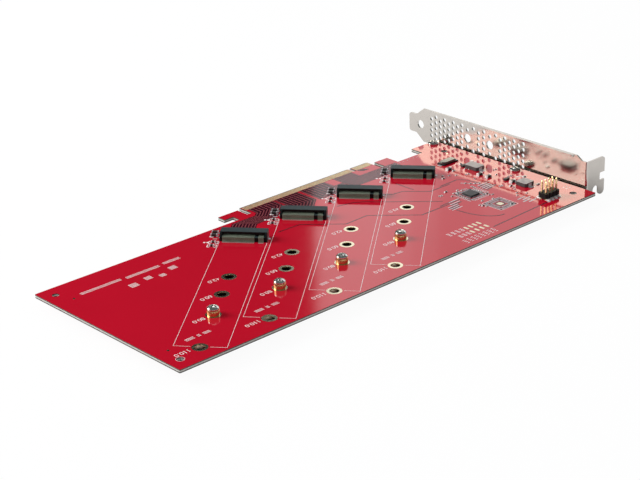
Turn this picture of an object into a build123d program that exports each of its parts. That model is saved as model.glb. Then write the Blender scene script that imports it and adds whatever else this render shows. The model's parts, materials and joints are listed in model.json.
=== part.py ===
from build123d import *
from math import cos, radians, sin
import os

# Adapter card that carries four storage modules at a slant behind one sixteen-lane edge connector.
# X runs from the free end towards the bracket, Y from the near long edge towards the edge connector,
# and Z up from the component side of the board. The origin is the middle of the key notch, at the tip
# of the fingers, on the component side. All sizes are in millimetres.

# Circuit board: reaches are measured from the middle of the key notch, depths from the finger tips
board_thickness = 1.6
free_end_reach = 197.6
bracket_end_reach = 59.6
card_height = 111.15
finger_step = 11.65
long_section_length = 71.65
short_section_length = 11.65
key_notch_width = 1.9
key_notch_depth = 5.5
bevel_length = 1.3
bevel_drop = 0.45
finger_corner_chamfer = 0.5
long_side_slot_width = 2.7
long_side_slot_depth = 8.2
short_side_slot_width = 2.9
short_side_slot_depth = 11.4
hook_arm_length = 11.9
hook_stem_width = 6.7
hook_arm_width = 4.6
hook_setback = 2.3
second_tab_width = 8.9
second_tab_setback = 3.6
foot_width = 17.1
foot_setback = 3.8
board_corner_radius = 0.6
tooling_hole = 3.2
tooling_hole_end_margin = 5.9
tooling_hole_near_margin = 7.05
tooling_hole_spacing = 85.3
bracket_side_hole = 3.6
bracket_side_hole_margin = 7.9
bracket_side_hole_near_margin = 7.65
bracket_side_hole_spacing = 85.1

# Edge contacts
contact_pitch = 1.0
contact_width = 0.7
contact_length = 3.9
contact_plating = 0.05
long_section_contacts = 71
short_section_contacts = 11

# Module places: each module runs at a slant from its datum, towards the near edge and the free end
module_slant = 50.0
module_pitch = 37.0
module_count = 4
last_datum_x = 15.6
datum_setback = 30.9
module_hole = 4.5
open_lengths = (42.0, 60.0, 110.0)
fitted_length = 80.0

# Module sockets: heights from the board, depths from the datum towards the back and the mouth
socket_width = 22.0
socket_height = 4.2
socket_back = 3.2
socket_roof_front = 1.8
socket_jaw_front = 3.6
socket_cheek = 1.1
mouth_floor = 2.2
mouth_height = 0.9
mouth_inner_end = 0.4
key_wall_offset = 6.125
key_wall_width = 1.0
socket_edge_chamfer = 0.4

# Standoffs with the nuts that hold them, and module screws
standoff_height = 2.5
standoff_barrel = 5.5
standoff_edge = 0.25
standoff_fit = 0.1
standoff_stud_overhang = 0.2
nut_across_flats = 7.0
nut_height = 1.2
module_screw_head = 5.2
module_screw_head_height = 1.8
module_screw_shank = 2.0
module_screw_reach = 2.0
thread_clearance = 0.05
head_crown = 0.45
turned_sides = 16

# Bracket: one folded sheet
sheet = 0.86
bend_inside = 0.3
bracket_gap = 1.8
bracket_length = 120.02
bracket_width = 18.42
bracket_underhang = 3.17
bracket_fold_setback = 104.0
tongue_width = 10.19
tongue_centre_height = 6.06
tongue_length = 5.22
tongue_slope_length = 5.2
tongue_hole = 4.5
tongue_hole_margin = 8.2
tongue_corner_radius = 1.5
shoulder_length = 3.6
shoulder_slope_length = 3.2
tab_length = 13.6
tab_low = 6.2
tab_top = 13.1
tab_corner_radius = 2.0
inner_prong_radius = 1.2
outer_prong_radius = 2.0
screw_slot_width = 4.42
screw_slot_centre = 7.0
screw_slot_top = 0.7
end_notch_height = 4.0
end_notch_low = 1.2
end_notch_depth = 3.6
punch_mark = 1.0
punch_mark_setback = 95.2
punch_mark_drop = 0.9

# Bracket perforation: staggered columns of small vents with two larger holes among them
vent_hole = 2.2
vent_sides = 10
vent_column_pitch = 3.05
vent_row_pitch = 3.07
vent_centre_height = 6.4
vent_short_rows = 4
vent_long_rows = 5
first_group_columns = 8
first_group_setback = 0.3
second_group_columns = 6
second_group_setback = 47.9
middle_group_setback = 33.2
middle_group_pitch = 3.6
large_vent = 4.6
large_vent_setback = 25.6
large_vent_spacing = 15.3
lone_pair_step = 4.0

# Bracket ears and the screws that hold the board to them
ear_width = 9.0
ear_reach = 9.5
ear_relief = 0.8
ear_relief_height = 2.8
ear_corner_radius = 1.5
ear_setbacks = (6.6, 62.9)
ear_screw_inset = 3.8
ear_screw_shank = 3.0
ear_screw_clearance = 0.2
ear_screw_head = 5.5
ear_screw_head_height = 1.9
ear_screw_overhang = 0.5

# Pin header: its base stands off the board on the feet of its pins
header_pitch = 2.54
header_columns = 4
header_rows = 2
header_end_margin = 19.85
header_near_margin = 12.85
header_stand = 0.8
header_base_height = 2.5
header_corner_chamfer = 0.6
header_foot_reach = 2.5
header_foot_height = 0.5
header_heel_chamfer = 0.3
pin_width = 0.64
pin_height = 9.3
pin_point = 0.5
pin_fit = 0.02
pin_taper = 25

# Power inductors
inductor_height = 2.0
inductor_terminal = 0.15
inductor_terminal_width = 2.2
inductor_terminal_foot = 1.2
inductor_terminal_drop = 0.4
inductor_edge_chamfer = 0.5
first_inductor_x = 44.0
first_inductor_y = -46.3
first_inductor_size_x = 6.0
first_inductor_size_y = 8.7
second_inductor_x = 44.3
second_inductor_y = -79.3
second_inductor_size_x = 6.6
second_inductor_size_y = 6.9

# Crystal
crystal_x = 40.85
crystal_y = -30.85
crystal_base_length = 10.3
crystal_base_width = 4.7
crystal_base_height = 0.6
crystal_can_margin = 0.3
crystal_can_height = 0.9
crystal_can_edge = 0.3

# Clock buffer chip
clock_chip_x = 16.5
clock_chip_y = -68.9
clock_chip_size = 6.0
clock_chip_height = 0.9

# Chip parts: a body between two end caps
cap_proud = 0.03
small_chip_length = 1.6
small_chip_width = 0.8
small_chip_height = 0.5
small_cap_length = 0.3
large_chip_length = 3.2
large_chip_width = 1.6
large_chip_height = 1.2
large_cap_length = 0.5
bypass_group_offset = 14.6
bypass_group_setback = 3.9
bypass_group_pitch = 3.4

# Places of the chip parts between the crystal and the header
large_capacitor_places = [(33.4, -38.6), (38.8, -54.6), (39.4, -59.8), (42.6, -72.9)]
small_capacitor_places = [(22.5, -45.0), (13.5, -62.9), (22.3, -74.0), (10.2, -58.2), (38.2, -75.6)]
resistor_places = [(43.3, -37.6), (33.9, -41.4), (52.3, -72.2), (49.0, -83.9), (9.7, -82.9), (20.9, -91.1)]
transistor_places = [(42.4, -40.6), (42.9, -68.6)]
transistor_length = 2.9
transistor_width = 1.6
transistor_height = 1.0

# Values worked out from the sizes above
key_half = key_notch_width / 2
long_end_x = -key_half - long_section_length
short_end_x = key_half + short_section_length
tooling_x = -free_end_reach + tooling_hole_end_margin
tooling_y = -card_height + tooling_hole_near_margin
bracket_side_x = bracket_end_reach - bracket_side_hole_margin
bracket_side_y = -card_height + bracket_side_hole_near_margin
face_x = bracket_end_reach + bracket_gap
face_low = -bracket_underhang
face_high = face_low + bracket_width
bend_outside = sheet + bend_inside
fold_y = -bracket_fold_setback
tongue_end_y = fold_y + bracket_length
ear_screw_x = bracket_end_reach - ear_screw_inset
overshoot = 1.0
tiny_gap = 0.02

os.makedirs("parts", exist_ok=True)


def save(piece, name):
    piece.part.label = name
    export_step(piece.part, f"parts/{name}.step")


def span(x_from, x_to, y_from, y_to, mode=Mode.ADD):
    # A rectangle given by its ends, for the sketch that is open
    with Locations(((x_from + x_to) / 2, (y_from + y_to) / 2)):
        Rectangle(abs(x_to - x_from), abs(y_to - y_from), mode=mode)


def module_axes():
    # Unit vectors across a module and from its free end towards its socket
    across = Vector(cos(radians(module_slant)), -sin(radians(module_slant)), 0)
    inward = Vector(sin(radians(module_slant)), cos(radians(module_slant)), 0)
    return across, inward


def datum(place):
    # The datum of one module place, counted from the free end
    return Vector(last_datum_x - module_pitch * (module_count - 1 - place), -datum_setback, 0)


def module_point(place, distance):
    across, inward = module_axes()
    spot = datum(place) - inward * distance
    return (spot.X, spot.Y)


def module_points(distance):
    return [module_point(place, distance) for place in range(module_count)]


def ear_points():
    return [(ear_screw_x, -setback) for setback in ear_setbacks]


# Circuit board
def board_outline():
    slot_x = long_end_x - long_side_slot_width
    tab_x = short_end_x + short_side_slot_width
    span(-free_end_reach, bracket_end_reach, -card_height, -finger_step)
    span(long_end_x, short_end_x, -finger_step, 0)
    # Shoulders beside the fingers, as deep as their slots leave them
    span(slot_x - hook_stem_width, long_end_x, -finger_step, -long_side_slot_depth - long_side_slot_width / 2)
    span(slot_x - hook_stem_width, slot_x, -finger_step, -hook_setback)
    span(slot_x - hook_arm_length, slot_x, -hook_setback - hook_arm_width, -hook_setback)
    span(short_end_x, tab_x + second_tab_width, -finger_step, -short_side_slot_depth)
    span(tab_x, tab_x + second_tab_width, -finger_step, -second_tab_setback)
    span(bracket_end_reach - foot_width, bracket_end_reach, -finger_step, -foot_setback)
    span(-key_half, key_half, -key_notch_depth, overshoot, mode=Mode.SUBTRACT)


with BuildPart() as circuit_board:
    with BuildSketch(Plane.XY.offset(-board_thickness)):
        board_outline()
        for length in open_lengths:
            with Locations(*module_points(length)):
                Circle(module_hole / 2, mode=Mode.SUBTRACT)
        with Locations(*module_points(fitted_length)):
            RegularPolygon(module_hole / 2, turned_sides, mode=Mode.SUBTRACT)
        with Locations((tooling_x, tooling_y), (tooling_x, tooling_y + tooling_hole_spacing)):
            Circle(tooling_hole / 2, mode=Mode.SUBTRACT)
        side_holes = [bracket_side_y, bracket_side_y + bracket_side_hole_spacing]
        with Locations(*[(bracket_side_x, y) for y in side_holes]):
            Circle(bracket_side_hole / 2, mode=Mode.SUBTRACT)
        with Locations(*ear_points()):
            RegularPolygon(ear_screw_shank / 2 + ear_screw_clearance, turned_sides, mode=Mode.SUBTRACT)
    extrude(amount=board_thickness)
    upright = circuit_board.edges().filter_by(Axis.Z)
    far_corners = upright.group_by(Axis.X)[0]
    near_corner = upright.group_by(Axis.X)[-1].sort_by(Axis.Y)[0]
    fillet([*far_corners, near_corner], board_corner_radius)
    tip_corners = circuit_board.edges().filter_by(Axis.Z).group_by(Axis.Y)[-1]
    chamfer(tip_corners, finger_corner_chamfer)
    # Bevel on both sides of the finger tips
    with BuildSketch(Plane.YZ.offset(long_end_x)):
        for face, drop in ((0, -bevel_drop), (-board_thickness, bevel_drop)):
            with BuildLine():
                Polyline((0, face), (-bevel_length, face), (0, face + drop), close=True)
            make_face()
    extrude(amount=short_end_x - long_end_x, mode=Mode.SUBTRACT)
save(circuit_board, "circuit_board")


# Edge contacts, the same on both sides
def contact_row(section_middle, count):
    with Locations((section_middle, -bevel_length - contact_length / 2 - tiny_gap)):
        with GridLocations(contact_pitch, 1, count, 1):
            Rectangle(contact_width, contact_length)


def contact_rows():
    contact_row((long_end_x - key_half) / 2, long_section_contacts)
    contact_row((short_end_x + key_half) / 2, short_section_contacts)


with BuildPart() as edge_contacts_top:
    with BuildSketch(Plane.XY):
        contact_rows()
    extrude(amount=contact_plating)
save(edge_contacts_top, "edge_contacts_top")

with BuildPart() as edge_contacts_bottom:
    with BuildSketch(Plane.XY.offset(-board_thickness)):
        contact_rows()
    extrude(amount=-contact_plating)
save(edge_contacts_bottom, "edge_contacts_bottom")


# Module sockets: a moulded housing open at the mouth, closed by a cheek at each end, with a key wall
def socket_side_plane(place, offset):
    # Drawn looking across the module: local X runs from the mouth to the back, local Y is height
    across, inward = module_axes()
    return Plane(origin=datum(place) + across * offset, x_dir=inward, z_dir=across)


def socket_section_points():
    roof_under = mouth_floor + mouth_height
    return [
        (socket_back, 0),
        (socket_back, socket_height),
        (-socket_roof_front, socket_height),
        (-socket_roof_front, roof_under),
        (mouth_inner_end, roof_under),
        (mouth_inner_end, mouth_floor),
        (-socket_jaw_front, mouth_floor),
        (-socket_jaw_front, 0),
    ]


def socket_cheek_points():
    return [
        (socket_back, 0),
        (socket_back, socket_height),
        (-socket_roof_front, socket_height),
        (-socket_jaw_front, mouth_floor),
        (-socket_jaw_front, 0),
    ]


def module_socket(place):
    _, inward = module_axes()
    with BuildPart() as socket:
        with BuildSketch(socket_side_plane(place, -socket_width / 2)):
            with BuildLine():
                Polyline(*socket_section_points(), close=True)
            make_face()
        extrude(amount=socket_width)
        for start in (-socket_width / 2, socket_width / 2 - socket_cheek):
            with BuildSketch(socket_side_plane(place, start)):
                with BuildLine():
                    Polyline(*socket_cheek_points(), close=True)
                make_face()
            extrude(amount=socket_cheek)
        with BuildSketch(socket_side_plane(place, key_wall_offset - key_wall_width / 2)):
            span(-socket_roof_front, mouth_inner_end, mouth_floor, mouth_floor + mouth_height)
        extrude(amount=key_wall_width)
        back_axis = Axis(datum(place), inward)
        back_corners = socket.edges().filter_by(Axis.Z).group_by(back_axis)[-1]
        chamfer(back_corners, socket_edge_chamfer)
    return socket


for place in range(module_count):
    save(module_socket(place), f"module_socket_{place + 1}")


# Standoffs: a barrel on the board, a stud through it, and a blind hole for the screw.
# Turned pieces and what is hidden under them are drawn with a few flats, which keeps the repeats light.
stud_radius = module_hole / 2 - standoff_fit

with BuildPart() as module_standoffs:
    with BuildSketch(Plane.XY):
        with Locations(*module_points(fitted_length)):
            RegularPolygon(standoff_barrel / 2, turned_sides)
    extrude(amount=standoff_height)
    chamfer(module_standoffs.edges().group_by(Axis.Z)[-1], standoff_edge)
    with BuildSketch(Plane.XY):
        with Locations(*module_points(fitted_length)):
            RegularPolygon(stud_radius, turned_sides)
    extrude(amount=-(board_thickness + nut_height + standoff_stud_overhang))
    with BuildSketch(Plane.XY.offset(standoff_height)):
        with Locations(*module_points(fitted_length)):
            RegularPolygon(module_screw_shank / 2 + thread_clearance, turned_sides)
    extrude(amount=-module_screw_reach, mode=Mode.SUBTRACT)
save(module_standoffs, "module_standoffs")

# Thin nuts on the studs, under the board
with BuildPart() as standoff_nuts:
    with BuildSketch(Plane.XY.offset(-board_thickness)):
        with Locations(*module_points(fitted_length)):
            RegularPolygon(nut_across_flats / 2, 6, major_radius=False)
            RegularPolygon(stud_radius + thread_clearance, turned_sides, mode=Mode.SUBTRACT)
    extrude(amount=-nut_height)
save(standoff_nuts, "standoff_nuts")


# Pan head screws: a shank, a round rim and a head that narrows towards its flat top
def pan_head_screws(points, seat, head, head_height, shank, reach):
    with BuildPart() as screws:
        with BuildSketch(Plane.XY.offset(seat)):
            with Locations(*points):
                RegularPolygon(head / 2, turned_sides)
        extrude(amount=head_height)
        chamfer(screws.edges().group_by(Axis.Z)[-1], head_height * head_crown)
        with BuildSketch(Plane.XY.offset(seat)):
            with Locations(*points):
                RegularPolygon(shank / 2, turned_sides)
        extrude(amount=-reach)
    return screws


module_screws = pan_head_screws(
    module_points(fitted_length),
    standoff_height,
    module_screw_head,
    module_screw_head_height,
    module_screw_shank,
    module_screw_reach - tiny_gap,
)
save(module_screws, "module_screws")

bracket_screws = pan_head_screws(
    ear_points(),
    0,
    ear_screw_head,
    ear_screw_head_height,
    ear_screw_shank,
    board_thickness + sheet + ear_screw_overhang,
)
save(bracket_screws, "bracket_screws")


# Bracket: the folded sheet seen from above, cut to its outline from the side and from the end
def fold_plan():
    span(face_x, face_x + sheet, fold_y, tongue_end_y)
    span(face_x, face_x + tab_length, fold_y, fold_y + sheet)


def side_outline_points():
    # Looking along the card: the tab end is at low Y, the tongue at high Y
    tongue_low = tongue_centre_height - tongue_width / 2
    tongue_high = tongue_centre_height + tongue_width / 2
    slope_end_y = tongue_end_y - tongue_length
    slope_start_y = slope_end_y - tongue_slope_length
    shoulder_end_y = fold_y + shoulder_length
    return [
        (fold_y - overshoot, -tab_low),
        (fold_y + sheet, -tab_low),
        (fold_y + sheet, face_low),
        (slope_start_y, face_low),
        (slope_end_y, tongue_low),
        (tongue_end_y, tongue_low),
        (tongue_end_y, tongue_high),
        (slope_end_y, tongue_high),
        (slope_start_y, face_high),
        (shoulder_end_y + shoulder_slope_length, face_high),
        (shoulder_end_y, tab_top),
        (fold_y - overshoot, tab_top),
    ]


def end_outline():
    # Looking along the bracket: the face is a narrow upright, the tab stands beside it
    bend_end_x = face_x + bend_outside
    tab_end_x = face_x + tab_length
    span(face_x - overshoot, bend_end_x, face_low, face_high)
    span(bend_end_x - tiny_gap, tab_end_x, -tab_low, tab_top)
    slot_x = face_x + screw_slot_centre
    arc_z = -screw_slot_top - screw_slot_width / 2
    half_slot = screw_slot_width / 2
    span(slot_x - half_slot, slot_x + half_slot, -tab_low - overshoot, arc_z, mode=Mode.SUBTRACT)
    with Locations((slot_x, arc_z)):
        Circle(half_slot, mode=Mode.SUBTRACT)
    notch_high = end_notch_low + end_notch_height
    span(tab_end_x - end_notch_depth, tab_end_x + overshoot, end_notch_low, notch_high, mode=Mode.SUBTRACT)


def vent_column(y, rows):
    with Locations((y, vent_centre_height)):
        with GridLocations(1, vent_row_pitch, 1, rows):
            RegularPolygon(vent_hole / 2, vent_sides)


def vent_group(first_setback, columns, pitch):
    for column in range(columns):
        rows = vent_long_rows if column % 2 else vent_short_rows
        vent_column(-first_setback - pitch * column, rows)


def vent_pair(y, rows):
    # Only the outermost vents of a column
    half_height = vent_row_pitch * (rows - 1) / 2
    for z in (vent_centre_height - half_height, vent_centre_height + half_height):
        with Locations((y, z)):
            RegularPolygon(vent_hole / 2, vent_sides)


def perforation():
    vent_group(first_group_setback, first_group_columns, vent_column_pitch)
    vent_group(middle_group_setback, 2, middle_group_pitch)
    vent_group(second_group_setback, second_group_columns, vent_column_pitch)
    for large_y in (-large_vent_setback, -large_vent_setback - large_vent_spacing):
        with Locations((large_y, vent_centre_height)):
            Circle(large_vent / 2)
        vent_pair(large_y, vent_short_rows)
        vent_pair(large_y - lone_pair_step, vent_long_rows)


def tab_edges(part):
    # The short edges through the thickness of the tab
    return part.edges().filter_by(Axis.Y).filter_by_position(Axis.Y, fold_y, fold_y + sheet)


def ear_profile():
    # Seen along the card's height: a stub of the face, folded under the board
    span(face_x, face_x + sheet, -board_thickness - sheet, ear_relief_height - bracket_underhang)
    span(face_x - ear_reach, face_x + sheet, -board_thickness - sheet, -board_thickness)


with BuildPart() as mounting_bracket:
    with BuildSketch(Plane.XY.offset(-tab_low)) as plan:
        fold_plan()
        outer_corner = plan.vertices().group_by(Axis.Y)[0].sort_by(Axis.X)[0]
        fillet(outer_corner, bend_outside)
        inner_corner = plan.vertices().sort_by_distance((face_x + sheet, fold_y + sheet))[0]
        fillet(inner_corner, bend_inside)
    extrude(amount=tab_low + face_high)
    with BuildSketch(Plane.YZ.offset(face_x - overshoot)):
        with BuildLine():
            Polyline(*side_outline_points(), close=True)
        make_face()
    extrude(amount=tab_length + 2 * overshoot, mode=Mode.INTERSECT)
    with BuildSketch(Plane.XZ.offset(-tongue_end_y - overshoot)):
        end_outline()
    extrude(amount=bracket_length + 2 * overshoot, mode=Mode.INTERSECT)
    # Rounded corners of the tab and the tongue
    fillet(tab_edges(mounting_bracket).group_by(Axis.X)[-1].sort_by(Axis.Z)[-1], tab_corner_radius)
    fillet(tab_edges(mounting_bracket).group_by(Axis.Z)[0].sort_by(Axis.X)[2:], outer_prong_radius)
    fillet(tab_edges(mounting_bracket).group_by(Axis.Z)[0].sort_by(Axis.X)[1], inner_prong_radius)
    tongue_corners = mounting_bracket.edges().filter_by(Axis.X).group_by(Axis.Y)[-1]
    fillet(tongue_corners, tongue_corner_radius)
    # Perforation, the hole of the tongue and the punch mark near the shoulder
    with BuildSketch(Plane.YZ.offset(face_x - overshoot)):
        perforation()
        with Locations((tongue_end_y - tongue_hole_margin, tongue_centre_height)):
            Circle(tongue_hole / 2)
        with Locations((-punch_mark_setback, face_high - punch_mark_drop)):
            Circle(punch_mark / 2)
    extrude(amount=sheet + 2 * overshoot, mode=Mode.SUBTRACT)
    # Ears under the board, each between two relief cuts
    for ear_x, ear_y in ear_points():
        half_cut = ear_width / 2 + ear_relief
        with BuildSketch(Plane.XZ.offset(-ear_y - half_cut)):
            span(face_x, face_x + sheet, face_low, face_low + ear_relief_height)
        extrude(amount=2 * half_cut, mode=Mode.SUBTRACT)
        with BuildSketch(Plane.XZ.offset(-ear_y - ear_width / 2)) as ear:
            ear_profile()
            low_corner = ear.vertices().sort_by_distance((face_x + sheet, -board_thickness - sheet))[0]
            fillet(low_corner, bend_outside)
            high_corner = ear.vertices().sort_by_distance((face_x, -board_thickness))[0]
            fillet(high_corner, bend_inside)
        extrude(amount=ear_width)
        with BuildSketch(Plane.XY.offset(-board_thickness)):
            with Locations((ear_x, ear_y)):
                RegularPolygon(ear_screw_shank / 2 + thread_clearance, turned_sides)
        extrude(amount=-sheet, mode=Mode.SUBTRACT)
    ear_corners = mounting_bracket.edges().filter_by(Axis.Z).group_by(Axis.X)[0]
    fillet(ear_corners, ear_corner_radius)
save(mounting_bracket, "mounting_bracket")


# Pin header: a moulded base with notched corners between its places, and square pins bent into feet
header_x = bracket_end_reach - header_end_margin
header_y = -card_height + header_near_margin
header_size_y = header_rows * header_pitch
outer_row = header_pitch * (header_rows - 1) / 2

with BuildPart() as header_base:
    with BuildSketch(Plane.XY.offset(header_stand)):
        with Locations((header_x, header_y)):
            with GridLocations(header_pitch, header_size_y, header_columns, 1):
                Rectangle(header_pitch, header_size_y)
            with GridLocations(header_pitch, header_size_y, header_columns + 1, 2):
                Rectangle(header_corner_chamfer, header_corner_chamfer, rotation=45, mode=Mode.SUBTRACT)
            with GridLocations(header_pitch, header_pitch, header_columns, header_rows):
                Rectangle(pin_width + 2 * pin_fit, pin_width + 2 * pin_fit, mode=Mode.SUBTRACT)
    extrude(amount=header_base_height)
save(header_base, "header_base")

with BuildPart() as header_pins:
    with BuildSketch(Plane.XY):
        with Locations((header_x, header_y)):
            with GridLocations(header_pitch, header_pitch, header_columns, header_rows):
                Rectangle(pin_width, pin_width)
    extrude(amount=pin_height - pin_point)
    with BuildSketch(Plane.XY.offset(pin_height - pin_point)):
        with Locations((header_x, header_y)):
            with GridLocations(header_pitch, header_pitch, header_columns, header_rows):
                Rectangle(pin_width, pin_width)
    extrude(amount=pin_point, taper=pin_taper)
    # Each pin bends outwards under the base and lies on the board
    with BuildSketch(Plane.XY):
        for side in (-1, 1):
            with Locations((header_x, header_y + side * (outer_row + header_foot_reach / 2))):
                with GridLocations(header_pitch, 1, header_columns, 1):
                    Rectangle(pin_width, header_foot_reach)
    extrude(amount=header_foot_height)
    low_edges = header_pins.edges().filter_by(Axis.X).group_by(Axis.Z)[0]
    heels = low_edges.filter_by_position(Axis.Y, header_y - outer_row, header_y + outer_row)
    chamfer(heels, header_heel_chamfer)
save(header_pins, "header_pins")


# Power inductors: a block with a terminal wrapped under each end
def inductor(x, y, size_x, size_y):
    with BuildPart() as block:
        with BuildSketch(Plane.XY.offset(inductor_terminal)):
            with Locations((x, y)):
                Rectangle(size_x, size_y - 2 * inductor_terminal)
        extrude(amount=inductor_height - inductor_terminal)
        chamfer(block.edges().filter_by(Axis.Z), inductor_edge_chamfer)
    return block


def inductor_terminals(x, y, size_y):
    with BuildPart() as terminals:
        for side in (-1, 1):
            end = y + side * size_y / 2
            foot = end - side * inductor_terminal_foot
            wall = end - side * inductor_terminal
            with BuildSketch(Plane.YZ.offset(x - inductor_terminal_width / 2)):
                span(foot, end, 0, inductor_terminal)
                span(wall, end, 0, inductor_height - inductor_terminal_drop)
            extrude(amount=inductor_terminal_width)
    return terminals


first_inductor = inductor(first_inductor_x, first_inductor_y, first_inductor_size_x, first_inductor_size_y)
save(first_inductor, "inductor_1")
first_terminals = inductor_terminals(first_inductor_x, first_inductor_y, first_inductor_size_y)
save(first_terminals, "inductor_1_terminals")
second_inductor = inductor(second_inductor_x, second_inductor_y, second_inductor_size_x, second_inductor_size_y)
save(second_inductor, "inductor_2")
second_terminals = inductor_terminals(second_inductor_x, second_inductor_y, second_inductor_size_y)
save(second_terminals, "inductor_2_terminals")


# Crystal: a metal can with round ends on a low black base
with BuildPart() as crystal_base:
    with BuildSketch(Plane.XY):
        with Locations((crystal_x, crystal_y)):
            Rectangle(crystal_base_length, crystal_base_width)
    extrude(amount=crystal_base_height)
save(crystal_base, "crystal_base")

with BuildPart() as crystal_can:
    with BuildSketch(Plane.XY.offset(crystal_base_height)):
        with Locations((crystal_x, crystal_y)):
            SlotOverall(crystal_base_length - 2 * crystal_can_margin, crystal_base_width - 2 * crystal_can_margin)
    extrude(amount=crystal_can_height)
    chamfer(crystal_can.faces().sort_by(Axis.Z)[-1].edges(), crystal_can_edge)
save(crystal_can, "crystal_can")


# Clock buffer chip
with BuildPart() as clock_chip:
    with BuildSketch(Plane.XY):
        with Locations((clock_chip_x, clock_chip_y)):
            Rectangle(clock_chip_size, clock_chip_size)
    extrude(amount=clock_chip_height)
save(clock_chip, "clock_chip")


# Chip parts: bodies and end caps, lying along X or along a module
def chip_planes(places):
    return [Plane(origin=(x, y, 0)) for x, y in places]


def chip_bodies(planes, length, cap, width, height):
    with BuildPart() as bodies:
        for plane in planes:
            with BuildSketch(plane):
                Rectangle(length - 2 * cap, width - 2 * cap_proud)
            extrude(amount=height - cap_proud)
    return bodies


def chip_caps(planes, length, cap, width, height):
    with BuildPart() as caps:
        for plane in planes:
            with BuildSketch(plane):
                with GridLocations(length - cap, 1, 2, 1):
                    Rectangle(cap, width)
            extrude(amount=height)
    return caps


def bypass_planes():
    # Two large capacitors stand one behind the other beside each socket
    across, inward = module_axes()
    planes = []
    for place in range(module_count):
        for row in (-0.5, 0.5):
            middle = datum(place) - across * bypass_group_offset
            middle = middle + inward * (bypass_group_setback + row * bypass_group_pitch)
            planes.append(Plane(origin=middle, x_dir=across, z_dir=(0, 0, 1)))
    return planes


large_size = (large_chip_length, large_cap_length, large_chip_width, large_chip_height)
small_size = (small_chip_length, small_cap_length, small_chip_width, small_chip_height)

save(chip_bodies(bypass_planes(), *large_size), "bypass_capacitors")
save(chip_caps(bypass_planes(), *large_size), "bypass_capacitor_caps")
save(chip_bodies(chip_planes(large_capacitor_places), *large_size), "power_capacitors")
save(chip_caps(chip_planes(large_capacitor_places), *large_size), "power_capacitor_caps")
save(chip_bodies(chip_planes(small_capacitor_places), *small_size), "small_capacitors")
save(chip_caps(chip_planes(small_capacitor_places), *small_size), "small_capacitor_caps")
save(chip_bodies(chip_planes(resistor_places), *small_size), "resistors")
save(chip_caps(chip_planes(resistor_places), *small_size), "resistor_caps")

with BuildPart() as transistors:
    with BuildSketch(Plane.XY):
        with Locations(*transistor_places):
            Rectangle(transistor_length, transistor_width)
    extrude(amount=transistor_height)
save(transistors, "transistors")
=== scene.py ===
"""Looks of an expansion card that carries four storage modules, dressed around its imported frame.

Sizes are in millimetres unless a name says otherwise, and MM turns them into the scene's metres.
X runs from the free end towards the bracket, Y towards the edge connector, Z up from the board.
"""

import json
import logging
import math
from dataclasses import dataclass
from enum import Enum

import bmesh
import bpy
import numpy as np
from mathutils import Matrix, Vector

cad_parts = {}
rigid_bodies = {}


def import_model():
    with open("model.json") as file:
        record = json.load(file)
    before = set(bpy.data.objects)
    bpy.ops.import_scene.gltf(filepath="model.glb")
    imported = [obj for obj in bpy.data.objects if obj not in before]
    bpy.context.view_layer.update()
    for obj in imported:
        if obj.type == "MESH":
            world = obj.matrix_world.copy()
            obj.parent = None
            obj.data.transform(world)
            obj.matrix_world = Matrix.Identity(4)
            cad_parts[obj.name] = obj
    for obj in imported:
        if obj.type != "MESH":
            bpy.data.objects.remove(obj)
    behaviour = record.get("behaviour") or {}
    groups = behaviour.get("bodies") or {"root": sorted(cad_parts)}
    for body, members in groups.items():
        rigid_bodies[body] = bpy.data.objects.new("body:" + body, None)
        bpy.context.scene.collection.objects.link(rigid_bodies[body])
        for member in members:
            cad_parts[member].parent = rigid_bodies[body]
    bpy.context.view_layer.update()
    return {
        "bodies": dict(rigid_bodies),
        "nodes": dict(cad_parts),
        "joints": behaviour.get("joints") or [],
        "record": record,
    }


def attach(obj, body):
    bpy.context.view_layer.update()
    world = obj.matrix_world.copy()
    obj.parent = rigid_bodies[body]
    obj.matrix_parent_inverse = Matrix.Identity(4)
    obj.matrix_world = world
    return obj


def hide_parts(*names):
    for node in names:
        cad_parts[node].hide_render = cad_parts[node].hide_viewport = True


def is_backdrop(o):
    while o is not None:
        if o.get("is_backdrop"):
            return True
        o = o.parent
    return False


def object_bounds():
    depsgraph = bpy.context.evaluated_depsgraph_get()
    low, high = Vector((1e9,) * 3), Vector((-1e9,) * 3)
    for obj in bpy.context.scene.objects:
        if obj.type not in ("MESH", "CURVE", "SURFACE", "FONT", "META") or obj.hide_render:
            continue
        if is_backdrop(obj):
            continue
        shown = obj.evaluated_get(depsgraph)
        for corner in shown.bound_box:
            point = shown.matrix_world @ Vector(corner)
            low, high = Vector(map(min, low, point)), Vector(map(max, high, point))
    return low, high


MM = 0.001
BODY = "root"
LOG = logging.getLogger("adapter_card")

Array = np.ndarray
Point = tuple[float, float]
Triple = tuple[float, float, float]
Colour = Triple

SHORTEST_STEP = 1e-9
SHARPEST_MITRE = 0.25
MERGE_METRES = 1e-7
FINE_DETAIL = 3.0
LACQUER_IOR = 1.5

BOARD_THICKNESS = 1.6
PLATING = 0.03
PRINT_TOP = 0.035
OPEN_LENGTHS = (42.0, 60.0, 110.0)
FITTED_LENGTH = 80.0
BESIDE_SOCKET = -13.6
BESIDE_SOCKET_ROWS = (-5.2, -9.4)
BESIDE_SOCKET_PARTS = tuple((BESIDE_SOCKET, row) for row in BESIDE_SOCKET_ROWS)


# Shader expressions


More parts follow.
